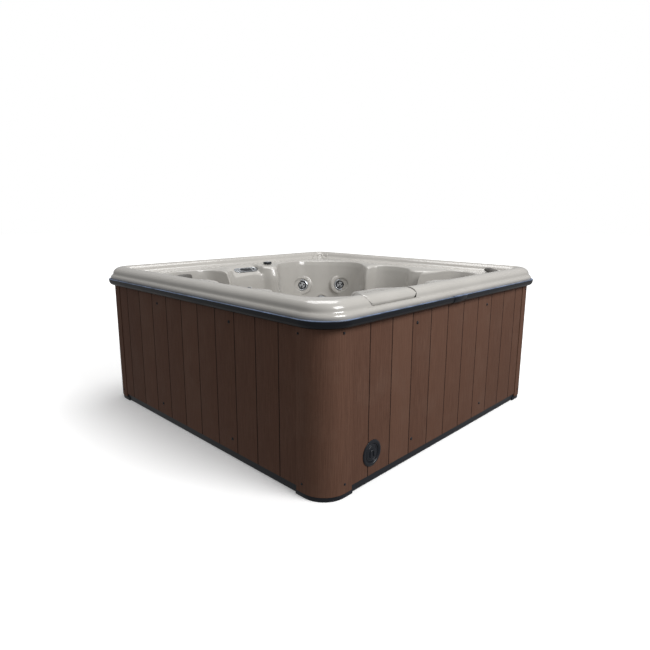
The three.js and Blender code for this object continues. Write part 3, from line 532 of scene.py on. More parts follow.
def square_reach(angle, half, radius):
    """Distance from the centre to a rounded square, along the plan angles."""
    folded = np.abs(angle - math.pi / 2 * np.round(angle / (math.pi / 2)))
    flat = half - radius
    straight = half / np.cos(folded)
    along = flat * (np.cos(folded) + np.sin(folded))
    bend = along + np.sqrt(np.maximum(along**2 - 2 * flat**2 + radius**2, 0))
    return np.where(straight * np.sin(folded) <= flat, straight, bend)


def wall_reach(angle):
    """Reach of the seat backs' top edge: a periodic cubic through the knots of WALL_TOP."""
    full = 2 * math.pi
    knots = sorted((math.atan2(y, x) % full, math.hypot(x, y)) for x, y in WALL_TOP)
    before = [(a - full, r) for a, r in knots[-2:]]
    after = [(a + full, r) for a, r in knots[:2]]
    a, r = np.array(before + knots + after).T
    turn = np.asarray(angle) % full
    i = np.clip(np.searchsorted(a, turn, side="right") - 1, 1, len(a) - 3)
    span = a[i + 1] - a[i]
    m0 = (r[i + 1] - r[i - 1]) / (a[i + 1] - a[i - 1]) * span
    m1 = (r[i + 2] - r[i]) / (a[i + 2] - a[i]) * span
    return hermite((turn - a[i]) / span, r[i], m0, r[i + 1], m1)


def plan_angles():
    """Plan angles of the shell's columns: closer together round the corners and behind the jets."""
    angles, a = [], 0.0
    while a < 360:
        angles.append(math.radians(a))
        from_corner = abs(a % 90 - 45)
        by_jets = 28 < a < 62
        a += 0.2 if by_jets else 0.25 if from_corner < 7 else 0.5
    return np.array(angles)


def shell_levels(angles, deeper):
    """Rings of the shell as (reach, height, rows to the next ring). `deeper` gives the hidden side."""
    levels = []
    wall = wall_reach(angles)
    ridge = np.maximum(0, square_reach(angles, 790, 330) - wall)
    flat = np.zeros_like(angles)
    for inset, z in RIM_UNDER if deeper else RIM:
        reach = square_reach(angles, HALF - inset, max(EDGE_RADIUS - inset, 22))
        levels.append((reach, flat + z, 3))
    edge = square_reach(angles, HALF - 152, 24)
    for part, dip in ((0.25, 0), (0.5, 0), (0.72, 0.015), (0.9, 0.06)):
        height = DECK - 2 * part - dip * ridge
        levels.append((edge + part * (wall + 14 - edge), height - deeper, 3))
    # Wall section as inward offset, height, share of the ridges that is left, and rows.
    section = [
        (-2, 863, 1, 4), (4, 846, 1, 7), (14, 790, 1, 26), (34, 660, 0.92, 28), (62, 520, 0.7, 14),
        (86, 456, 0.55, 6),
    ]
    for inward, z, share, rows in section:
        dip = 0.16 * ridge if z > 840 else 0
        levels.append((wall + (1 - share) * ridge - inward + deeper, flat + z - dip - 0.3 * deeper, rows))
    seat = wall + 0.6 * ridge - 132
    levels.append((seat + 0.6 * deeper, SEAT + 0.25 * ridge - deeper, 5))
    levels.append((square_reach(angles, 454, 215), flat + SEAT - 6 - deeper, 4))
    levels.append((square_reach(angles, 432, 205) + 0.6 * deeper, flat + SEAT - 22 - 0.6 * deeper, 4))
    levels.append((square_reach(angles, FOOTWELL_HALF, 190) + deeper, flat + 166 - 0.4 * deeper, 5))
    levels.append((square_reach(angles, 362, 170), flat + 140 - deeper, 1))
    return levels


def smooth_surface(angles, levels):
    """Points of a surface that passes smoothly through the rings: rows x columns x 3."""
    pairs = np.array([np.stack([reach, height], axis=-1) for reach, height, _ in levels])
    lengths = np.maximum(np.linalg.norm(np.diff(pairs, axis=0), axis=-1, keepdims=True), 1e-3)
    slopes = np.diff(pairs, axis=0) / lengths
    inner = (slopes[:-1] * lengths[1:] + slopes[1:] * lengths[:-1]) / (lengths[:-1] + lengths[1:])
    tangents = np.concatenate([slopes[:1], inner, slopes[-1:]])
    rows = [
        hermite(k / count, pairs[i], lengths[i] * tangents[i], pairs[i + 1], lengths[i] * tangents[i + 1])
        for i, (_, _, count) in enumerate(levels[:-1])
        for k in range(count)
    ]
    rows = np.array([*rows, pairs[-1]])
    return np.stack([rows[..., 0] * np.cos(angles), rows[..., 0] * np.sin(angles), rows[..., 1]], axis=-1)


def lower_ledge(points, deeper):
    """Lets the deck slope down to the bather under the control panel."""
    x, y, z = points[..., 0], points[..., 1], points[..., 2] + deeper
    plane = PANEL_PLACE.z + (y - PANEL_PLACE.y) * math.tan(PANEL_TILT)
    blend = 22
    inside = smooth((x - LEDGE[0]) / blend) * smooth((LEDGE[1] - x) / blend) * (y > 0)
    points[..., 2] = z + inside * (soft_min(z, plane, 8) - z) - deeper


def form_jet_dishes(points):
    """Presses a round dish into the wall for each jet, on a low boss where the wall falls away."""
    for place in JETS.values():
        axis, offset = np.array(JET_AXIS), points - np.array(place)
        height = offset @ axis
        distance = np.linalg.norm(offset - height[..., None] * axis, axis=-1)
        boss = -4 - np.maximum(distance - BOSS, 0) * 1.4
        dish = -RECESS + np.maximum(distance - DISH, 0) * 3.6
        formed = soft_min(-soft_min(-height, -boss, 6), dish, 2)
        near = (distance < PATCH) & (np.abs(height) < 70)
        fade = smooth((PATCH - distance) / 10)
        points += np.where(near, (formed - height) * fade, 0)[..., None] * axis


def panel_matrix():
    return Matrix.Translation(PANEL_PLACE) @ Matrix.Rotation(PANEL_TILT, 4, "X")


def oblong(half_x, half_y, steps=12):
    return rounded_rect(half_x, half_y, half_y - 0.5, steps)


def lid_plan(grow):
    """Plan of the filter lid: straight outer edge, flanks that close in towards the pool, round inner end."""
    low, high = box("filter_lid")
    mid_x, mid_y = (low.x + high.x) / 2, (low.y + high.y) / 2
    wide, out, knee, inner = 186, low.y, -978, high.y
    half = [(wide, out), (wide, knee), (100, inner - 58), (88, inner - 30), (76, inner - 10), (56, inner)]
    outline = [(mid_x + dx, y) for dx, y in half]
    outline += [(mid_x - dx, y) for dx, y in reversed(half)]
    stretch_x, stretch_y = 1 + grow / wide, 1 + grow / 100
    return rounded(
        [(mid_x + (x - mid_x) * stretch_x, mid_y + (y - mid_y) * stretch_y) for x, y in outline], 26, 8,
    )

def make_shell():
    angles = plan_angles()
    top = smooth_surface(angles, shell_levels(angles, 0))
    top[..., 2] = np.minimum(top[..., 2], CREST)
    hidden = shell_levels(angles, SHELL_THICKNESS)
    under = smooth_surface(angles, [(reach, height, max(1, rows // 4)) for reach, height, rows in hidden])
    lower_ledge(top, 0)
    lower_ledge(under, SHELL_THICKNESS)
    form_jet_dishes(top)
    rings = np.concatenate([under[::-1], top])
    count, around = len(rings), len(angles)
    faces = loft_faces(count, around)
    # The two middles of the footwell's floor close the form.
    points = [*rings.reshape(-1, 3), under[-1].mean(axis=0), top[-1].mean(axis=0)]
    under_hub, top_hub = count * around, count * around + 1
    last = (count - 1) * around
    for i in range(around):
        j = (i + 1) % around
        faces += [(under_hub, j, i), (top_hub, last + i, last + j)]
    shell = object_from("tub_shell", points, faces)

    # Thicker behind each dish, and bored through for the jet's body.
    for place in JETS.values():
        combine(shell, [drum(75, -36, -17, place, JET_AXIS)], "UNION")
        combine(shell, [drum(33.4, -90, 60, place, JET_AXIS)])

    # A pocket for the lid, and a level plate under it.
    low, high = box("filter_lid")
    outer, inner = low.y - 4, high.y + 30
    middle = Matrix.Translation((centre("filter_lid").x, (inner + outer) / 2, 0))
    plate = prism("plate", rounded_rect(206, (inner - outer) / 2, 5), DECK - 9, DECK, middle)
    combine(shell, [prism("pocket", lid_plan(2), DECK, 1000)])
    combine(shell, [plate], "UNION")

    # Holes for the filter, the knobs, the control panel and the fittings in the footwell.
    x, y = centre("filter_housing").x, box("filter_housing")[0].y + CANISTER_RADIUS
    tip = Matrix.Translation((x, 0, THROAT_HEIGHT)) @ Matrix.Rotation(math.radians(90), 4, "X")
    place = panel_matrix()
    tools = [
        drum(CANISTER_RADIUS + 1.5, 400, 1000, (x, y, 0)),
        prism("mouth", rounded_rect(74.4, 28, 6), 700, 860, tip),
        prism("panel_body", oblong(98.4, 24.4), -60, 60, place),
        prism("panel_seat", oblong(107, 33), 0.6, 60, place),
    ]
    for node, radius in (("diverter_knob", 18.5), ("air_control_knob", 12.5)):
        spot = centre(node)
        tools.append(drum(radius, 700, 900, (spot.x, spot.y, 0)))
    for node, radius, normal in (
        ("suction_cover_left", 20.4, FORWARD), ("suction_cover_right", 20.4, FORWARD),
        ("light_lens", 26.4, (1, 0, 0)),
    ):
        tools.append(drum(radius, -120, 120, centre(node), normal))
    combine(shell, tools)
    return dressed(shell, "acrylic", crease=42, replaces=["shell"])


make_shell()


# ---------------------------------------------------------------- filter lid
def make_lid():
    """Raised cap that carries the rim's roll on towards the pool, with a slot for the fingers."""
    low, high = box("filter_lid")
    rim = smooth_surface(np.zeros(1), [(np.array([HALF - i]), np.array([z]), 12) for i, z in RIM[4:9]])
    across = np.array([(-reach, z) for reach, z in rim[:, 0, ::2]])
    inner = rounded([
        (-983, CREST), (-940, CREST - 1), (-890, 910), (-850, 903), (-826, 896), (-812, 888),
    ], 40, 8, closed=False)
    section = [*across, *inner[1:]]
    outline = np.array(rounded(lid_plan(0), 10, 3))
    mid = (low.x + high.x) / 2
    spine = np.column_stack([np.full(len(outline), mid), np.clip(outline[:, 1], low.y + 90, high.y - 70)])
    towards = spine - outline
    room = np.linalg.norm(towards, axis=1, keepdims=True)
    flank = smooth((outline[:, 1] - low.y - 4) / 30)
    shoulder = 17

    def ring(inset, under):
        inset = np.minimum(inset, 0.96 * room[:, 0])
        plan = outline + towards / room * inset[:, None]
        height = np.interp(plan[:, 1], [p[0] for p in section], [p[1] for p in section]) - under
        t = np.clip(inset / shoulder, 0, 1)
        rise = 1 - flank * (1 - np.sqrt(1 - (1 - t) ** 2))
        return np.column_stack([plan, low.z + (height - low.z) * rise])

    steps = np.array([0, 0.4, 1, 2, 3.5, 5.5, 8, 11, 14, 17, 24, 34, 48, 66, 90, 120, 160])
    outer = [ring(np.full(len(outline), s), 0) for s in steps]
    thickness = 8
    inside = [ring(np.full(len(outline), s), thickness) for s in steps[:-1]]
    for level in inside:
        plan = level[:, :2] + (towards / room) * thickness
        level[:, :2] = np.where(room > 3 * thickness, plan, level[:, :2])
    inside[0][:, 2] = low.z
    rings = [*inside[::-1], *outer]
    count, around = len(rings), len(outline)
    faces = loft_faces(count, around)
    # Strips across the outline close the innermost ring below and above.
    for first in (0, (count - 1) * around):
        last = first + around - 1
        faces += [(first + i, first + i + 1, last - 1 - i, last - i) for i in range(around // 2 - 1)]
    lid = object_from("filter_lid_cover", np.concatenate(rings), faces)
    combine(lid, [prism("slot", rounded_rect(125, 5.5, 5), 880, 1000, Matrix.Translation((mid, -941.5, 0)))])
    return dressed(lid, "acrylic", "filter_lid", replaces=["filter_lid"])


make_lid()


# ---------------------------------------------------------------- edge trim
TRIM_SECTION = [
    (0, 832), (1.6, 838), (14.6, 838), (14.6, 834.6), (5, 834.6), (4.6, 824), (10, 813), (20, 804),
    (31, 804), (31, 799), (19, 799), (9, 805), (2.4, 816),
]
SLEEVE_SECTION = [
    (-2, 832), (-0.8, 840.2), (12, 840.2), (12, 838.5), (1, 838.5), (-0.5, 832), (1.9, 815.6), (8.7, 804.4),
    (18.8, 798.5), (24, 798.5), (24, 797.6), (18.4, 797.4), (7.6, 803.2), (0.4, 814.8),
]


def sweep_trim(name, side, join_x, replaces):
    """Half of the trim: its section carried from the front joint round two corners to the back joint."""
    flat, steps = HALF - EDGE_RADIUS, 28
    section = rounded(TRIM_SECTION, 1.6, 3)
    rings = [[(join_x, inset - HALF, z) for inset, z in section]]
    for sy, first in ((-1, -90), (1, 0)):
        for i in range(steps + 1):
            a = math.radians(first + 90 * i / steps)
            x, y = side * math.cos(a), math.sin(a)
            rings.append([
                (side * flat + (EDGE_RADIUS - inset) * x, sy * flat + (EDGE_RADIUS - inset) * y, z)
                for inset, z in section
            ])
    rings.append([(join_x, HALF - inset, z) for inset, z in section])
    dressed(tube(name, rings), "black_plastic", replaces=replaces, paint="edge_trim")


def make_trim():
    low, high = box("trim_joiner_front")
    join_x = (low.x + high.x) / 2
    sweep_trim("edge_trim_right", 1, join_x + 0.4, ["trim_right_half"])
    sweep_trim("edge_trim_left", -1, join_x - 0.4, ["trim_left_half"])
    section = rounded(SLEEVE_SECTION, 0.8, 2)
    for name, side in (("front", -1), ("back", 1)):
        turn = Matrix(((0, 0, 1, 0), (side, 0, 0, 0), (0, 1, 0, 0), (0, 0, 0, 1)))
        outline = [(HALF - inset, z) for inset, z in section]
        sleeve = prism(f"trim_sleeve_{name}", outline, low.x, high.x, turn)
        bevelled(sleeve, 0.7, 2, 60)
        dressed(sleeve, "black_plastic", replaces=[f"trim_joiner_{name}"], paint="edge_trim")


make_trim()


# ---------------------------------------------------------------- cabinet
PLANK_FIRST = -735  # first groove, from the middle of a side
PLANK_PITCH = 166
PLANK_GROOVES = 10
SIDES = {
    name: Matrix.Rotation(math.radians(90 * i), 4, "Z")
    for i, name in enumerate(("front", "right", "back", "left"))
}
CORNERS = {"back_right": 0, "back_left": 90, "front_left": 180, "front_right": 270}


def tint_planks(piece, turn, start):
    """Gives each plank its own tone, from 0 to 1, and marks the flanks of the grooves for the painted shade
    in them, as face attributes.
    """
    mesh = piece.data
    tones = mesh.attributes.new("plank", "FLOAT", "FACE")
    grooves = mesh.attributes.new("groove_shade", "FLOAT", "FACE")
    back = turn.inverted()
    values, flanks = [], []
    for face in mesh.polygons:
        along = (back @ face.center).x / MM
        plank = math.floor((along - PLANK_FIRST) / PLANK_PITCH) + start
        values.append((math.sin(plank * 12.9898) * 43758.5453) % 1)
        outwards = back.to_3x3() @ face.normal
        flanks.append(1.0 if piece.name.startswith("planks") and 0.3 < abs(outwards.x) < 0.98 else 0.0)
    tones.data.foreach_set("value", values)
    grooves.data.foreach_set("value", flanks)


def make_side_panel(name, turn, number):
    """Planks with V grooves between them, in one moulded sheet."""
    low, high = box(f"side_panel_{name}")
    ends = [(turn.inverted() @ corner).x for corner in (low, high)]
    start, end = min(ends), max(ends)
    face, back = -PANEL_HALF, -PANEL_HALF + 8
    half_width, depth = 2.5, 3.2
    outline = [(start, back), (start, face)]
    mirrored = -1 if name == "left" else 1
    grooves = sorted(mirrored * (PLANK_FIRST + i * PLANK_PITCH) for i in range(PLANK_GROOVES))
    for x in grooves:
        outline += [(x - half_width, face), (x, face + depth), (x + half_width, face)]
    outline += [(end, face), (end, back)]
    panel = prism(f"planks_{name}", rounded(outline, 1.1, 3), PANEL_LOW, PANEL_TOP, turn)
    if name == "front":
        spot = centre("drain_flange")
        combine(panel, [drum(54, -50, 50, (spot.x, -PANEL_HALF, spot.z), FORWARD, 96)])
    tint_planks(panel, turn, 17 * number)
    dressed(panel, "cabinet_brown", replaces=[f"side_panel_{name}"])


def make_corner_panel(name, degrees):
    """Sheet bent round one corner of the cabinet."""
    turn = Matrix.Rotation(math.radians(degrees), 4, "Z")
    low, high = box(f"corner_panel_{name}")
    reach = min(abs(low.x), abs(high.x))
    radius, thick, lip, steps = 134, 9, 1.2, 40
    arc = [math.radians(90 * i / steps) for i in range(steps + 1)]
    flat = CABINET_HALF - radius
    outer = [(flat + radius * math.cos(a), flat + radius * math.sin(a)) for a in arc]
    bend = radius - thick
    inner = [(flat + bend * math.cos(a), flat + bend * math.sin(a)) for a in reversed(arc)]
    within = CABINET_HALF - thick
    outline = [
        (CABINET_HALF - lip, reach), (CABINET_HALF, reach + lip), *outer, (reach + lip, CABINET_HALF),
        (reach, CABINET_HALF - lip), (reach, within), *inner, (within, reach),
    ]
    panel = prism(f"corner_wrap_{name}", outline, low.z, high.z, turn)
    tint_planks(panel, Matrix.Identity(4), 91 + degrees)
    dressed(panel, "cabinet_brown", replaces=[f"corner_panel_{name}"])


def make_base_pan():
    out = CABINET_HALF - 9.4
    foot_half = CABINET_HALF - 4
    radius = 125
    feet = prism("feet", rounded_rect(foot_half, foot_half, 130, 28), 0, 24)
    combine(feet, [
        prism("cross_x", rounded_rect(840, 1100, 0, 1), -10, 60),
        prism("cross_y", rounded_rect(1100, 840, 0, 1), -10, 60),
    ])
    bevelled(feet, 2, 3, 50)
    pan = prism("base_tray", rounded_rect(out - 22, out - 22, radius - 22, 28), 0, 10)
    combine(pan, [prism("skirt", rounded_rect(out, out, radius, 28), 6, 44), feet], "UNION")
    within = out - 7
    combine(pan, [prism("inside", rounded_rect(within, within, radius - 7, 28), 10, 100)])
    dressed(pan, "black_plastic", replaces=["base_pan"])


def screw(turn, along, out, height, r):
    """Domed washer-head screw of radius `r` with a cross recess, on one side of the cabinet."""
    place, normal = turn @ Vector((along, -out, height)), turn @ FORWARD
    head = turned("screw", [
        (0, -2), (r, -2), (r, 0.5), (0.94 * r, 1.1), (0.76 * r, 1.4), (0.7 * r, 2.6),
        (0.56 * r, 3.9), (0.36 * r, 4.6), (0, 4.8),
    ], place, normal, 32)
    matrix = aimed(place, normal) @ Matrix.Rotation(math.radians(28), 4, "Z")
    for long, wide in ((0.42 * r, 0.09 * r), (0.09 * r, 0.42 * r)):
        combine(head, [prism("recess", rounded_rect(long, wide, 0, 1), 2.6, 8, matrix)])
    return head


# Screws as (distance along the side, height), with the radii of their heads.
PANEL_SCREW, CORNER_SCREW = 8.5, 6
PANEL_SCREWS = {
    "front": [(-364, 736), (370, 736), (-379, 120), (350, 117)],
    "left": [(-365, 741), (360, 739), (-359, 113), (360, 113)],
    "right": [(-362, 740), (362, 740), (-358, 115), (358, 115)],
    "back": [(-362, 740), (362, 740), (-358, 115), (358, 115)],
}
CORNER_SCREWS = {
    "front": [(-915, 775), (-900, 71), (908, 772), (902, 70)],
    "left": [(868, 766), (888, 68), (-908, 770), (-900, 70)],
    "right": [(-908, 770), (-900, 70), (908, 770), (900, 70)],
    "back": [(-908, 770), (-900, 70), (908, 770), (900, 70)],
}


def make_screws():
    for side, turn in SIDES.items():
        heads = [screw(turn, x, PANEL_HALF, z, PANEL_SCREW) for x, z in PANEL_SCREWS[side]]
        heads += [screw(turn, x, CABINET_HALF, z, CORNER_SCREW) for x, z in CORNER_SCREWS[side]]
        dressed(joined(f"panel_screws_{side}", heads), "black_plastic")


for number, (side, turn) in enumerate(SIDES.items()):
    make_side_panel(side, turn, number)
for corner, degrees in CORNERS.items():
    make_corner_panel(corner, degrees)
make_base_pan()
make_screws()


# ---------------------------------------------------------------- drain
def make_drain():
    spot = centre("drain_flange")
    place = Vector((spot.x, -PANEL_HALF, spot.z))
    flange = turned("drain_ring", rounded([
        (20, -34), (53, -34), (53, 0.4), (66, 0.4), (65.4, 3.6), (60, 5.8), (54, 6), (51.5, 3.2), (46.5, 3.2),
        (45.5, -2), (45.5, -24), (20, -24),
    ], 1.2, 3), place, FORWARD, 96)
    dressed(flange, "black_plastic", replaces=["drain_flange"])
    disc = turned("drain_cover", [(0, -16), (44.2, -16), *rounded([
        (44.2, -16), (44.2, 1.4), (41, 3), (37.5, 3), (36.5, 1.8), (35, 1.8), (34, 3), (20, 3), (0, 3),
    ], 0.6, 2, closed=False)[1:]], place, FORWARD, 96)

    # Raised arch for the fingers: a round bar along an upturned U. The plan's +Y is the cap's up.
    matrix = aimed(place, FORWARD)
    radius, foot, height, bar, around = 13, -19, 3.4, 4.2, 12
    arc = [math.radians(7.5 * i) for i in range(25)]
    path = [(radius, foot), *((radius * math.cos(a), 1 + radius * math.sin(a)) for a in arc), (-radius, foot)]
    path = [Vector((x, y, height)) for x, y in path]
    turns = [2 * math.pi * k / around for k in range(around)]
    rings = []
    for i, at in enumerate(path):
        side = UP.cross(path[min(i + 1, len(path) - 1)] - path[max(i - 1, 0)]).normalized()
        rings.append([matrix @ (at + side * bar * math.cos(a) + UP * bar * math.sin(a)) for a in turns])
    combine(disc, [tube("arch", rings)], "UNION")
    for x, y in ((-26, 20), (26, 20), (0, -33)):
        dimple = [(0, 1.6), (2.2, 1.6), (2.6, 6), (0, 6)]
        combine(disc, [turned("dimple", dimple, matrix @ Vector((x, y, 0)), FORWARD, 24)])
    dressed(disc, "black_plastic", "drain_cap", replaces=["drain_cap"])


make_drain()


# ---------------------------------------------------------------- jets
def make_jets():
    for name, place in JETS.items():
        escutcheon = turned(f"jet_escutcheon_{name}", rounded([
            (20, -78), (32.5, -78), (32.5, -12.6), (48, -12.6), (48.4, -9.4), (46.6, -6.2), (42.6, -4.6),
            (38.6, -5), (36, -7.6), (35, -11), (30.6, -13), (30.6, -66), (20, -66),
        ], 1.4, 3), place, JET_AXIS, 96)
        dressed(escutcheon, "stainless", replaces=[f"jet_body_{name}"])
        collar = turned(f"jet_collar_{name}", rounded([
            (28, -40), (30.4, -40), (30.4, -12.4), (34.6, -10.6), (34.8, -7.6), (33, -6.2), (29.8, -6.8),
            (28, -9),
        ], 0.8, 3), place, JET_AXIS, 72)
        dressed(collar, "black_plastic")
        face = turned(f"jet_nozzle_face_{name}", rounded([
            (0, -38), (26, -38), (27, -13), (26, -10.6), (21, -8.4), (15, -8), (9, -9), (7.8, -9.4),
            (6.8, -5.4), (5, -3.6), (0, -2.8),
        ], 1.2, 3, closed=False), place, JET_AXIS, 96)
        ports, matrix, out = [], aimed(place, JET_AXIS), 16.4
        for degrees in (90, 210, 330):
            a = math.radians(degrees)
            spot = matrix @ Vector((out * math.cos(a), out * math.sin(a), 0))
            ports.append(turned("port", [
                (0, -34), (6.4, -34), (6.6, -12), (7.2, -9), (8.2, -5), (8.2, 6), (0, 6),
            ], spot, JET_AXIS, 32))
        combine(face, ports)
        dressed(face, "grey_plastic", f"nozzle_{name}", crease=50, replaces=[f"jet_nozzle_{name}"])


make_jets()


# ---------------------------------------------------------------- control panel
def make_control_panel():
    place = panel_matrix()
    normal = place.to_3x3() @ UP
    bezel = stacked("control_panel_frame", [
        (oblong(half_x, half_y, 14), z)
        for half_x, half_y, z in (
            (97.5, 23.5, -22), (98, 24, 1.3), (105.4, 31.4, 1.4), (106, 32, 2.2), (105.6, 31.6, 4.4),
            (104.2, 30.2, 5.7),
            (102.4, 28.4, 6), (99.8, 25.8, 5.4), (98.6, 24.6, 5),
        )
    ], place)
    combine(bezel, [prism("cut", rounded_rect(50, 20, 5), 3.4, 9, place)])
    for i in (1, 2, 3):
        local = place.inverted() @ centre(f"control_button_{i}")
        spot = place @ Vector((local.x, local.y, 0))
        combine(bezel, [drum(8.9, -9, 9, spot, normal, 48)])
        cap = turned(f"button_cap_{i}", rounded([
            (0, -5), (8.5, -5), (8.5, 6.4), (7.4, 7.6), (5.2, 7.4), (4.6, 6.8), (3.4, 6.8), (2.8, 7.3),
            (0, 7.5),
        ], 0.5, 2, closed=False), spot, normal, 48)
        slot = "black_plastic" if i == 3 else "grey_plastic"
        dressed(cap, slot, f"button_{i}", replaces=[f"control_button_{i}"])
    dressed(bezel, "stainless", replaces=["control_panel_bezel"])
    gasket = prism("control_panel_gasket", oblong(106.9, 32.9, 14), 0.65, 1.3, place)
    combine(gasket, [prism("cut", oblong(99, 25, 14), -5, 5, place)])
    dressed(gasket, "black_plastic")
    window = stacked("display_window", [
        (rounded_rect(half_x, half_y, 4.6), z)
        for half_x, half_y, z in ((49.6, 19.6, 3.8), (49.6, 19.6, 5.6), (48.8, 18.8, 6.2))
    ], place)
    dressed(window, "display_black", replaces=["control_panel_display"])
    lamp = [(0, 4.4), (1.6, 4.4), (1.6, 5.6), (0.9, 6.3), (0, 6.5)]
    lamps = [turned("lamp", lamp, place @ Vector((x, 0, 0)), normal, 20) for x in (88, 93)]
    dressed(joined("indicator_lamps", lamps), "clear_lens")


make_control_panel()


# ---------------------------------------------------------------- knobs
def on_deck(node):
    """A knob's place on the deck, and its radius."""
    spot = centre(node)
    return Vector((spot.x, spot.y, DECK)), half_size(node).x


def make_diverter():
    spot, radius = on_deck("diverter_knob")
    profile = rounded([
        (0, -62), (7, -62), (7, 2), (radius - 1, 2), (radius, 4),
        (radius, 11), (radius - 5, 17), (radius - 9, 18), (radius - 10, 15),
        (0, 15),
    ], 1, 3, closed=False)
    grip = turned("diverter_grip", profile, spot, segments=120)
    flutes = []
    for i in range(18):
        a = math.radians(20 * i)
        at = spot + Vector((math.cos(a), math.sin(a), 0)) * (radius + 2.4)
        flutes.append(drum(4, 1, 30, at, segments=20))
    combine(grip, flutes)
    dressed(grip, "black_plastic", "diverter_knob", replaces=["diverter_knob"])
    inner = radius - 10.6
    cap = turned("diverter_cap", rounded([
        (0, 14), (inner, 14), (inner, 18), (inner - 3, 19.6), (0, 20.6),
    ], 1, 3, closed=False), spot, segments=96)
    ridge = stacked("ridge", [
        ([(x * s, y * s) for x, y in rounded_rect(4, inner - 2, 3.9)], z)
        for s, z in ((1, 17), (1, 19.4), (0.86, 21))
    ], Matrix.Translation(spot) @ Matrix.Rotation(math.radians(-38), 4, "Z"))
    combine(cap, [ridge], "UNION")
    dressed(cap, "grey_plastic", "diverter_knob")


def make_air_control():
    spot, radius = on_deck("air_control_knob")
    knob = turned("air_control_grip", rounded([
        (0, -62), (5, -62), (5, 2), (radius, 2), (radius, 8),
        (radius - 3, 12), (0, 14),
    ], 1.4, 3, closed=False), spot, segments=96)
    blade = stacked("blade", [
        (rounded_rect(4 * s, (radius - 3) * s, 3.8 * s), z)
        for s, z in ((1.15, 9), (1, 13), (0.96, 20), (0.8, 21.8))
    ], Matrix.Translation(spot))
    combine(knob, [blade], "UNION")
    dressed(knob, "grey_plastic", "air_control_knob", replaces=["air_control_knob"])


make_diverter()
make_air_control()


# ---------------------------------------------------------------- filter
def make_filter():
    low, high = box("filter_housing")
    x, y, bottom, radius = (low.x + high.x) / 2, low.y + CANISTER_RADIUS, low.z, CANISTER_RADIUS
    housing = turned("filter_canister", rounded([
        (0, bottom), (radius, bottom), (radius, high.z), (0, high.z),
    ], 2, 3, closed=False), (x, y, 0), segments=96)
    tip = Matrix.Translation((x, 0, THROAT_HEIGHT)) @ Matrix.Rotation(math.radians(90), 4, "X")
    combine(housing, [prism("throat", rounded_rect(79, 34, 6), 786, -y, tip)], "UNION")
    combine(housing, [
        drum(radius - 4, bottom + 5, 1000, (x, y, 0), segments=96),
        prism("passage", rounded_rect(74, 28, 5), 700, -y, tip),
        drum(16, 0, 90, (x, y, bottom + 40), (1, 0, 0), 48),
    ])
    dressed(housing, "white_pvc", replaces=["filter_housing"])

    low, high = box("filter_cartridge")
    outer, core, end, points = half_size("filter_cartridge").x, 16, 11.8, 208
    star = []
    for i in range(points):
        a = 2 * math.pi * i / points
        reach = outer - (0, 5, 10, 5)[i % 4]
        star.append((reach * math.cos(a), reach * math.sin(a)))
    paper = prism("filter_pleats", star, low.z + 12, high.z - 12, Matrix.Translation((x, y, 0)))
    combine(paper, [drum(core, 400, 1000, (x, y, 0), segments=48)])
    dressed(paper, "filter_fabric", crease=25, replaces=["filter_cartridge"])
    caps = []
    for first, last in ((low.z, low.z + end), (high.z - end, high.z)):
        section = rounded([(core, first), (outer, first), (outer, last), (core, last)], 2, 3)
        caps.append(turned("cap", section, (x, y, 0), segments=96))
    dressed(joined("filter_end_caps", caps), "grey_plastic")

    half_x, half_y, half_z = half_size("skimmer_weir")
    upright = Matrix.Translation(centre("skimmer_weir")) @ Matrix.Rotation(math.radians(90), 4, "X")
    flap = prism("skimmer_flap", rounded_rect(half_x, half_z, 6), -half_y * 0.5, half_y * 0.6, upright)
    combine(flap, [
        prism("rib", rounded_rect(1.6, half_z - 8, 1.5), 0, half_y, upright @ Matrix.Translation((dx, 0, 0)))
        for dx in (-54, -27, 0, 27, 54)
    ], "UNION")
    above = upright @ Matrix.Translation((0, half_z - 4, 0))
    combine(flap, [prism("bead", rounded_rect(half_x - 6, 3, 2.9), -half_y, 0, above)], "UNION")
    dressed(flap, "white_pvc", "skimmer_weir", replaces=["skimmer_weir"])


make_filter()


# ---------------------------------------------------------------- footwell fittings
def make_footwell_fittings():
    for side in ("left", "right"):
        low, _ = box(f"suction_cover_{side}")
        spot, radius = centre(f"suction_cover_{side}"), half_size(f"suction_cover_{side}").x
        spot.y = low.y + 21
        cover = turned(f"suction_grille_{side}", rounded([
            (0, -46), (20, -46), (20, 6), (radius, 6), (radius - 1, 9), (radius - 8, 14), (22, 19), (0, 20.6),
        ], 2.5, 4, closed=False), spot, FORWARD, 96)
        # Two circles of slots, as (number, distance from the middle, half length, start of the cut).
        slots = []
        for count, out, half_long, start in ((20, 31, 9, 8), (10, 13, 4.5, 12)):
            for i in range(count):
                turn = Matrix.Rotation(2 * math.pi * i / count, 4, "Z") @ Matrix.Translation((out, 0, 0))
                slot = rounded_rect(half_long, 1.7, 1.6, 4)
                slots.append(prism("slot", slot, start, 40, aimed(spot, FORWARD) @ turn))
        combine(cover, slots)
        dressed(cover, "grey_plastic", replaces=[f"suction_cover_{side}"])
    _, high = box("light_lens")
    spot, radius = centre("light_lens"), half_size("light_lens").y
    spot.x = high.x - 18
    profile = [(0, -60), (26, -60), (26, 6), (radius, 6), (radius - 1, 10)]
    rings = 7
    for i in range(rings):
        outer, height = radius - 5 - i * 5, 12 + 5 * i / rings
        profile += [(outer, height + 1.1), (outer - 3.6, height - 0.3)]
    lens = turned("footwell_lens", [*profile, (0, 17.4)], spot, (1, 0, 0), 96)
    dressed(lens, "clear_lens", crease=25, replaces=["light_lens"])


make_footwell_fittings()


# ---------------------------------------------------------------- pillows
def co(piece):
    return np.array([v.co for v in piece.data.vertices])


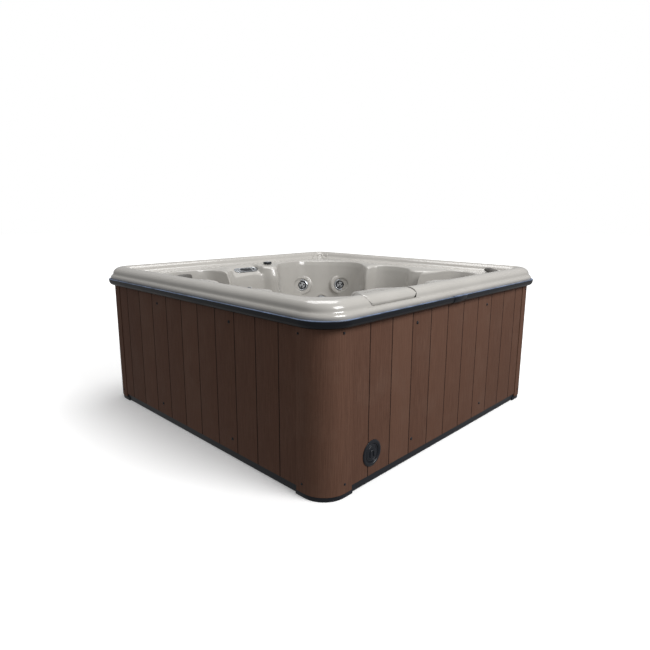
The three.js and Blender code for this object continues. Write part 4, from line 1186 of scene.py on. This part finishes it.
def inflate(piece, node, voxel, pressure, limit):
    """Fills a closed form as foam under a skin: remesh, a short cloth run, then a capped move of each point.

    The pad stays inside its CAD solid's box.
    """
    step = piece.modifiers.new("remesh", "REMESH")
    step.mode = "VOXEL"
    step.voxel_size = voxel * MM
    apply_modifiers(piece)
    rest = co(piece)
    cloth = piece.modifiers.new("cloth", "CLOTH")
    cloth.settings.use_pressure = True
    cloth.settings.uniform_pressure_force = pressure
    cloth.settings.effector_weights.gravity = 0
    cloth.settings.quality = 5
    cloth.settings.tension_stiffness = 30
    cloth.settings.compression_stiffness = 30
    for number in range(1, 21):
        scene.frame_set(number)
    apply_modifiers(piece)
    scene.frame_set(1)
    move = co(piece) - rest
    size = np.linalg.norm(move, axis=1, keepdims=True)
    now = rest + move * np.minimum(1, limit * MM / np.maximum(size, 1e-9))
    piece.data.vertices.foreach_set("co", now.astype(np.float32).ravel())
    step = piece.modifiers.new("finer", "SUBSURF")
    step.levels = 1
    apply_modifiers(piece)
    low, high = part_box(node)
    inside = np.clip(co(piece), np.array(low), np.array(high))
    piece.data.vertices.foreach_set("co", inside.astype(np.float32).ravel())


def finish_pillow(pad, node, voxel, limit):
    inflate(pad, node, voxel, 4, limit)
    dressed(pad, "pillow_charcoal", crease=60, replaces=[node])


def make_left_pillow():
    """D-shaped pad that fills the corner of its bay, crowned towards the bather."""
    low, high = box("pillow_left")
    turn = Matrix.Rotation(math.radians(135), 4, "Z")
    half = [(1005, 0), (1000, 42), (986, 80), (962, 116), (934, 138), (920, 141), (911, 137), (908, 126)]
    plan = half + [(r, -s) for r, s in reversed(half[1:])]
    middle = Vector((948, 0))
    levels = []
    shrinks = ((0, 0.9), (0.1, 0.96), (0.3, 0.99), (0.6, 0.99), (0.85, 0.96), (0.95, 0.9), (1, 0.82))
    for share, shrink in shrinks:
        outline = [tuple((Vector(p) - middle) * shrink + middle) for p in plan]
        levels.append((outline, low.z + 2 + (high.z - low.z - 5) * share))
    finish_pillow(stacked("head_pillow_left", levels, turn), "pillow_left", 5, 6)


def make_right_pillow():
    """Straight bolster on the deck, with a shallow waist in its middle."""
    low, high = box("pillow_right")
    turn = Matrix.Rotation(math.radians(315), 4, "Z")
    reach, long, thick, stations, around = 1167, 226, 56, 31, 24
    half_wide, half_high, middle = thick / 2 - 3, (high.z - low.z) / 2 - 1.5, (low.z + high.z) / 2
    rings = []
    for i in range(stations):
        t = i / (stations - 1)
        end = math.sqrt(max(0, 1 - (max(0, abs(2 * t - 1) - 0.8) / 0.2) ** 2)) * 0.62 + 0.38
        size = end * (1 - 0.12 * math.exp(-(((t - 0.5) / 0.05) ** 2)))
        section = []
        for k in range(around):
            a = 2 * math.pi * k / around
            x = math.copysign(abs(math.cos(a)) ** 0.7, math.cos(a)) * half_wide * size
            z = math.copysign(abs(math.sin(a)) ** 0.8, math.sin(a)) * half_high * size
            section.append(turn @ Vector((reach + x, (t - 0.5) * (long - 8), middle + z)))
        rings.append(section)
    finish_pillow(tube("head_pillow_right", rings), "pillow_right", 4, 4)


make_left_pillow()
make_right_pillow()


# ---------------------------------------------------------------- ribs on the far corner of the deck
def make_corner_ribs():
    """Four short raised ribs in the shell's own acrylic, on the inner slope of the rim's roll."""
    ribs = []
    inset, height, slope = 128, 889, math.radians(48)

    def along(angle):
        reach = float(square_reach(np.array(angle), HALF - inset, EDGE_RADIUS - inset))
        return Vector((reach * math.cos(angle), reach * math.sin(angle), height))

    for degrees in (-3.0, -1.0, 1.0, 3.0):
        angle = math.radians(45 + degrees)
        tangent = (along(angle + 0.002) - along(angle - 0.002)).normalized()
        inwards = Vector((-tangent.y, tangent.x, 0))
        normal = inwards * math.sin(slope) + Vector((0, 0, math.cos(slope)))
        turn = Matrix((tangent.cross(normal), tangent, normal)).transposed().to_4x4()
        ribs.append(stacked("rib", [
            (rounded_rect(half_x, half_y, half_y * 0.98, 8), z)
            for half_x, half_y, z in (
                (15, 11, -3), (15, 11, 0), (14.2, 10.2, 2), (12.4, 8.4, 3.4), (9.6, 4.6, 4.2),
            )
        ], Matrix.Translation(along(angle)) @ turn))
    dressed(joined("deck_corner_ribs", ribs), "acrylic")


make_corner_ribs()


# ---------------------------------------------------------------- CAD nodes that are shown as they are
CARRIED = {
    "timber": ("bottom_rail_", "top_rail_", "corner_post_"),
    "black_plastic": ("pump_wet_end", "pump_motor", "cable_gland"),
    "grey_plastic": ("pump_impeller", "control_box"),
    "white_pvc": ("diverter_valve", "air_valve", "suction_pipe", "pressure_pipe"),
    "stainless": ("heater",),
}
for slot, starts in CARRIED.items():
    for name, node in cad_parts.items():
        if name.startswith(starts):
            node.data.materials.clear()
            node.data.materials.append(PAINTS[slot])


# ---------------------------------------------------------------- light and floor
def make_stage():
    bpy.ops.mesh.primitive_plane_add(size=60, location=(0, 0, 0))
    floor = bpy.context.active_object
    floor.name = "studio_floor"
    paint = Paint("pale_floor", Roughness=0.9)
    tone = paint.mix(paint.noise(0.6), (0.86, 0.86, 0.86, 1), (0.9, 0.9, 0.9, 1))
    # The floor gives off light of its own away from the tub, so it runs into the white backdrop.
    away = paint.feed(paint.node("ShaderNodeVectorMath", operation="LENGTH"), Vector=paint.place)
    glow = paint.span(away.outputs["Value"], 1.5, 5.5, 0.22, 0.85)
    paint.feed(paint.shader, Emission_Color=(1, 1, 1, 1), Emission_Strength=glow)
    floor.data.materials.append(paint.done(tone))
    # The floor neither lights the cabinet nor shows in its gloss.
    floor.visible_diffuse = False
    floor.visible_glossy = False


def area_light(name, place, size, watts, target=(0, 0, 0.5)):
    data = bpy.data.lights.new(name, "AREA")
    data.shape = "RECTANGLE"
    data.size, data.size_y = size
    data.energy = watts
    lamp = bpy.data.objects.new(name, data)
    lamp.location = place
    lamp.rotation_euler = (Vector(target) - Vector(place)).to_track_quat("-Z", "Y").to_euler()
    scene.collection.objects.link(lamp)


def make_light():
    scene.view_settings.view_transform = "Standard"
    world = bpy.data.worlds.new("studio")
    scene.world = world
    world.use_nodes = True
    tree = world.node_tree
    background = tree.nodes["Background"]
    background.inputs["Color"].default_value = (1, 1, 1, 1)
    # The studio is dim at the horizon and brighter overhead; only the backdrop itself is white.
    way = tree.nodes.new("ShaderNodeTexCoord").outputs["Generated"]
    height = tree.nodes.new("ShaderNodeSeparateXYZ")
    tree.links.new(way, height.inputs[0])
    dome = tree.nodes.new("ShaderNodeMapRange")
    dome.inputs["From Max"].default_value = 0.9
    dome.inputs["To Min"].default_value = 0.35
    dome.inputs["To Max"].default_value = 0.5
    tree.links.new(height.outputs["Z"], dome.inputs["Value"])
    seen = tree.nodes.new("ShaderNodeLightPath").outputs["Is Camera Ray"]
    strength = tree.nodes.new("ShaderNodeMapRange")
    tree.links.new(seen, strength.inputs["Value"])
    tree.links.new(dome.outputs[0], strength.inputs["To Min"])
    strength.inputs["To Max"].default_value = 1.0
    tree.links.new(strength.outputs[0], background.inputs["Strength"])
    area_light("key", (0.1, -4.5, 3.9), (2.6, 2.2), 260)
    area_light("top", (0.4, 0.6, 4.2), (2.6, 2.6), 100)


make_stage()
make_light()
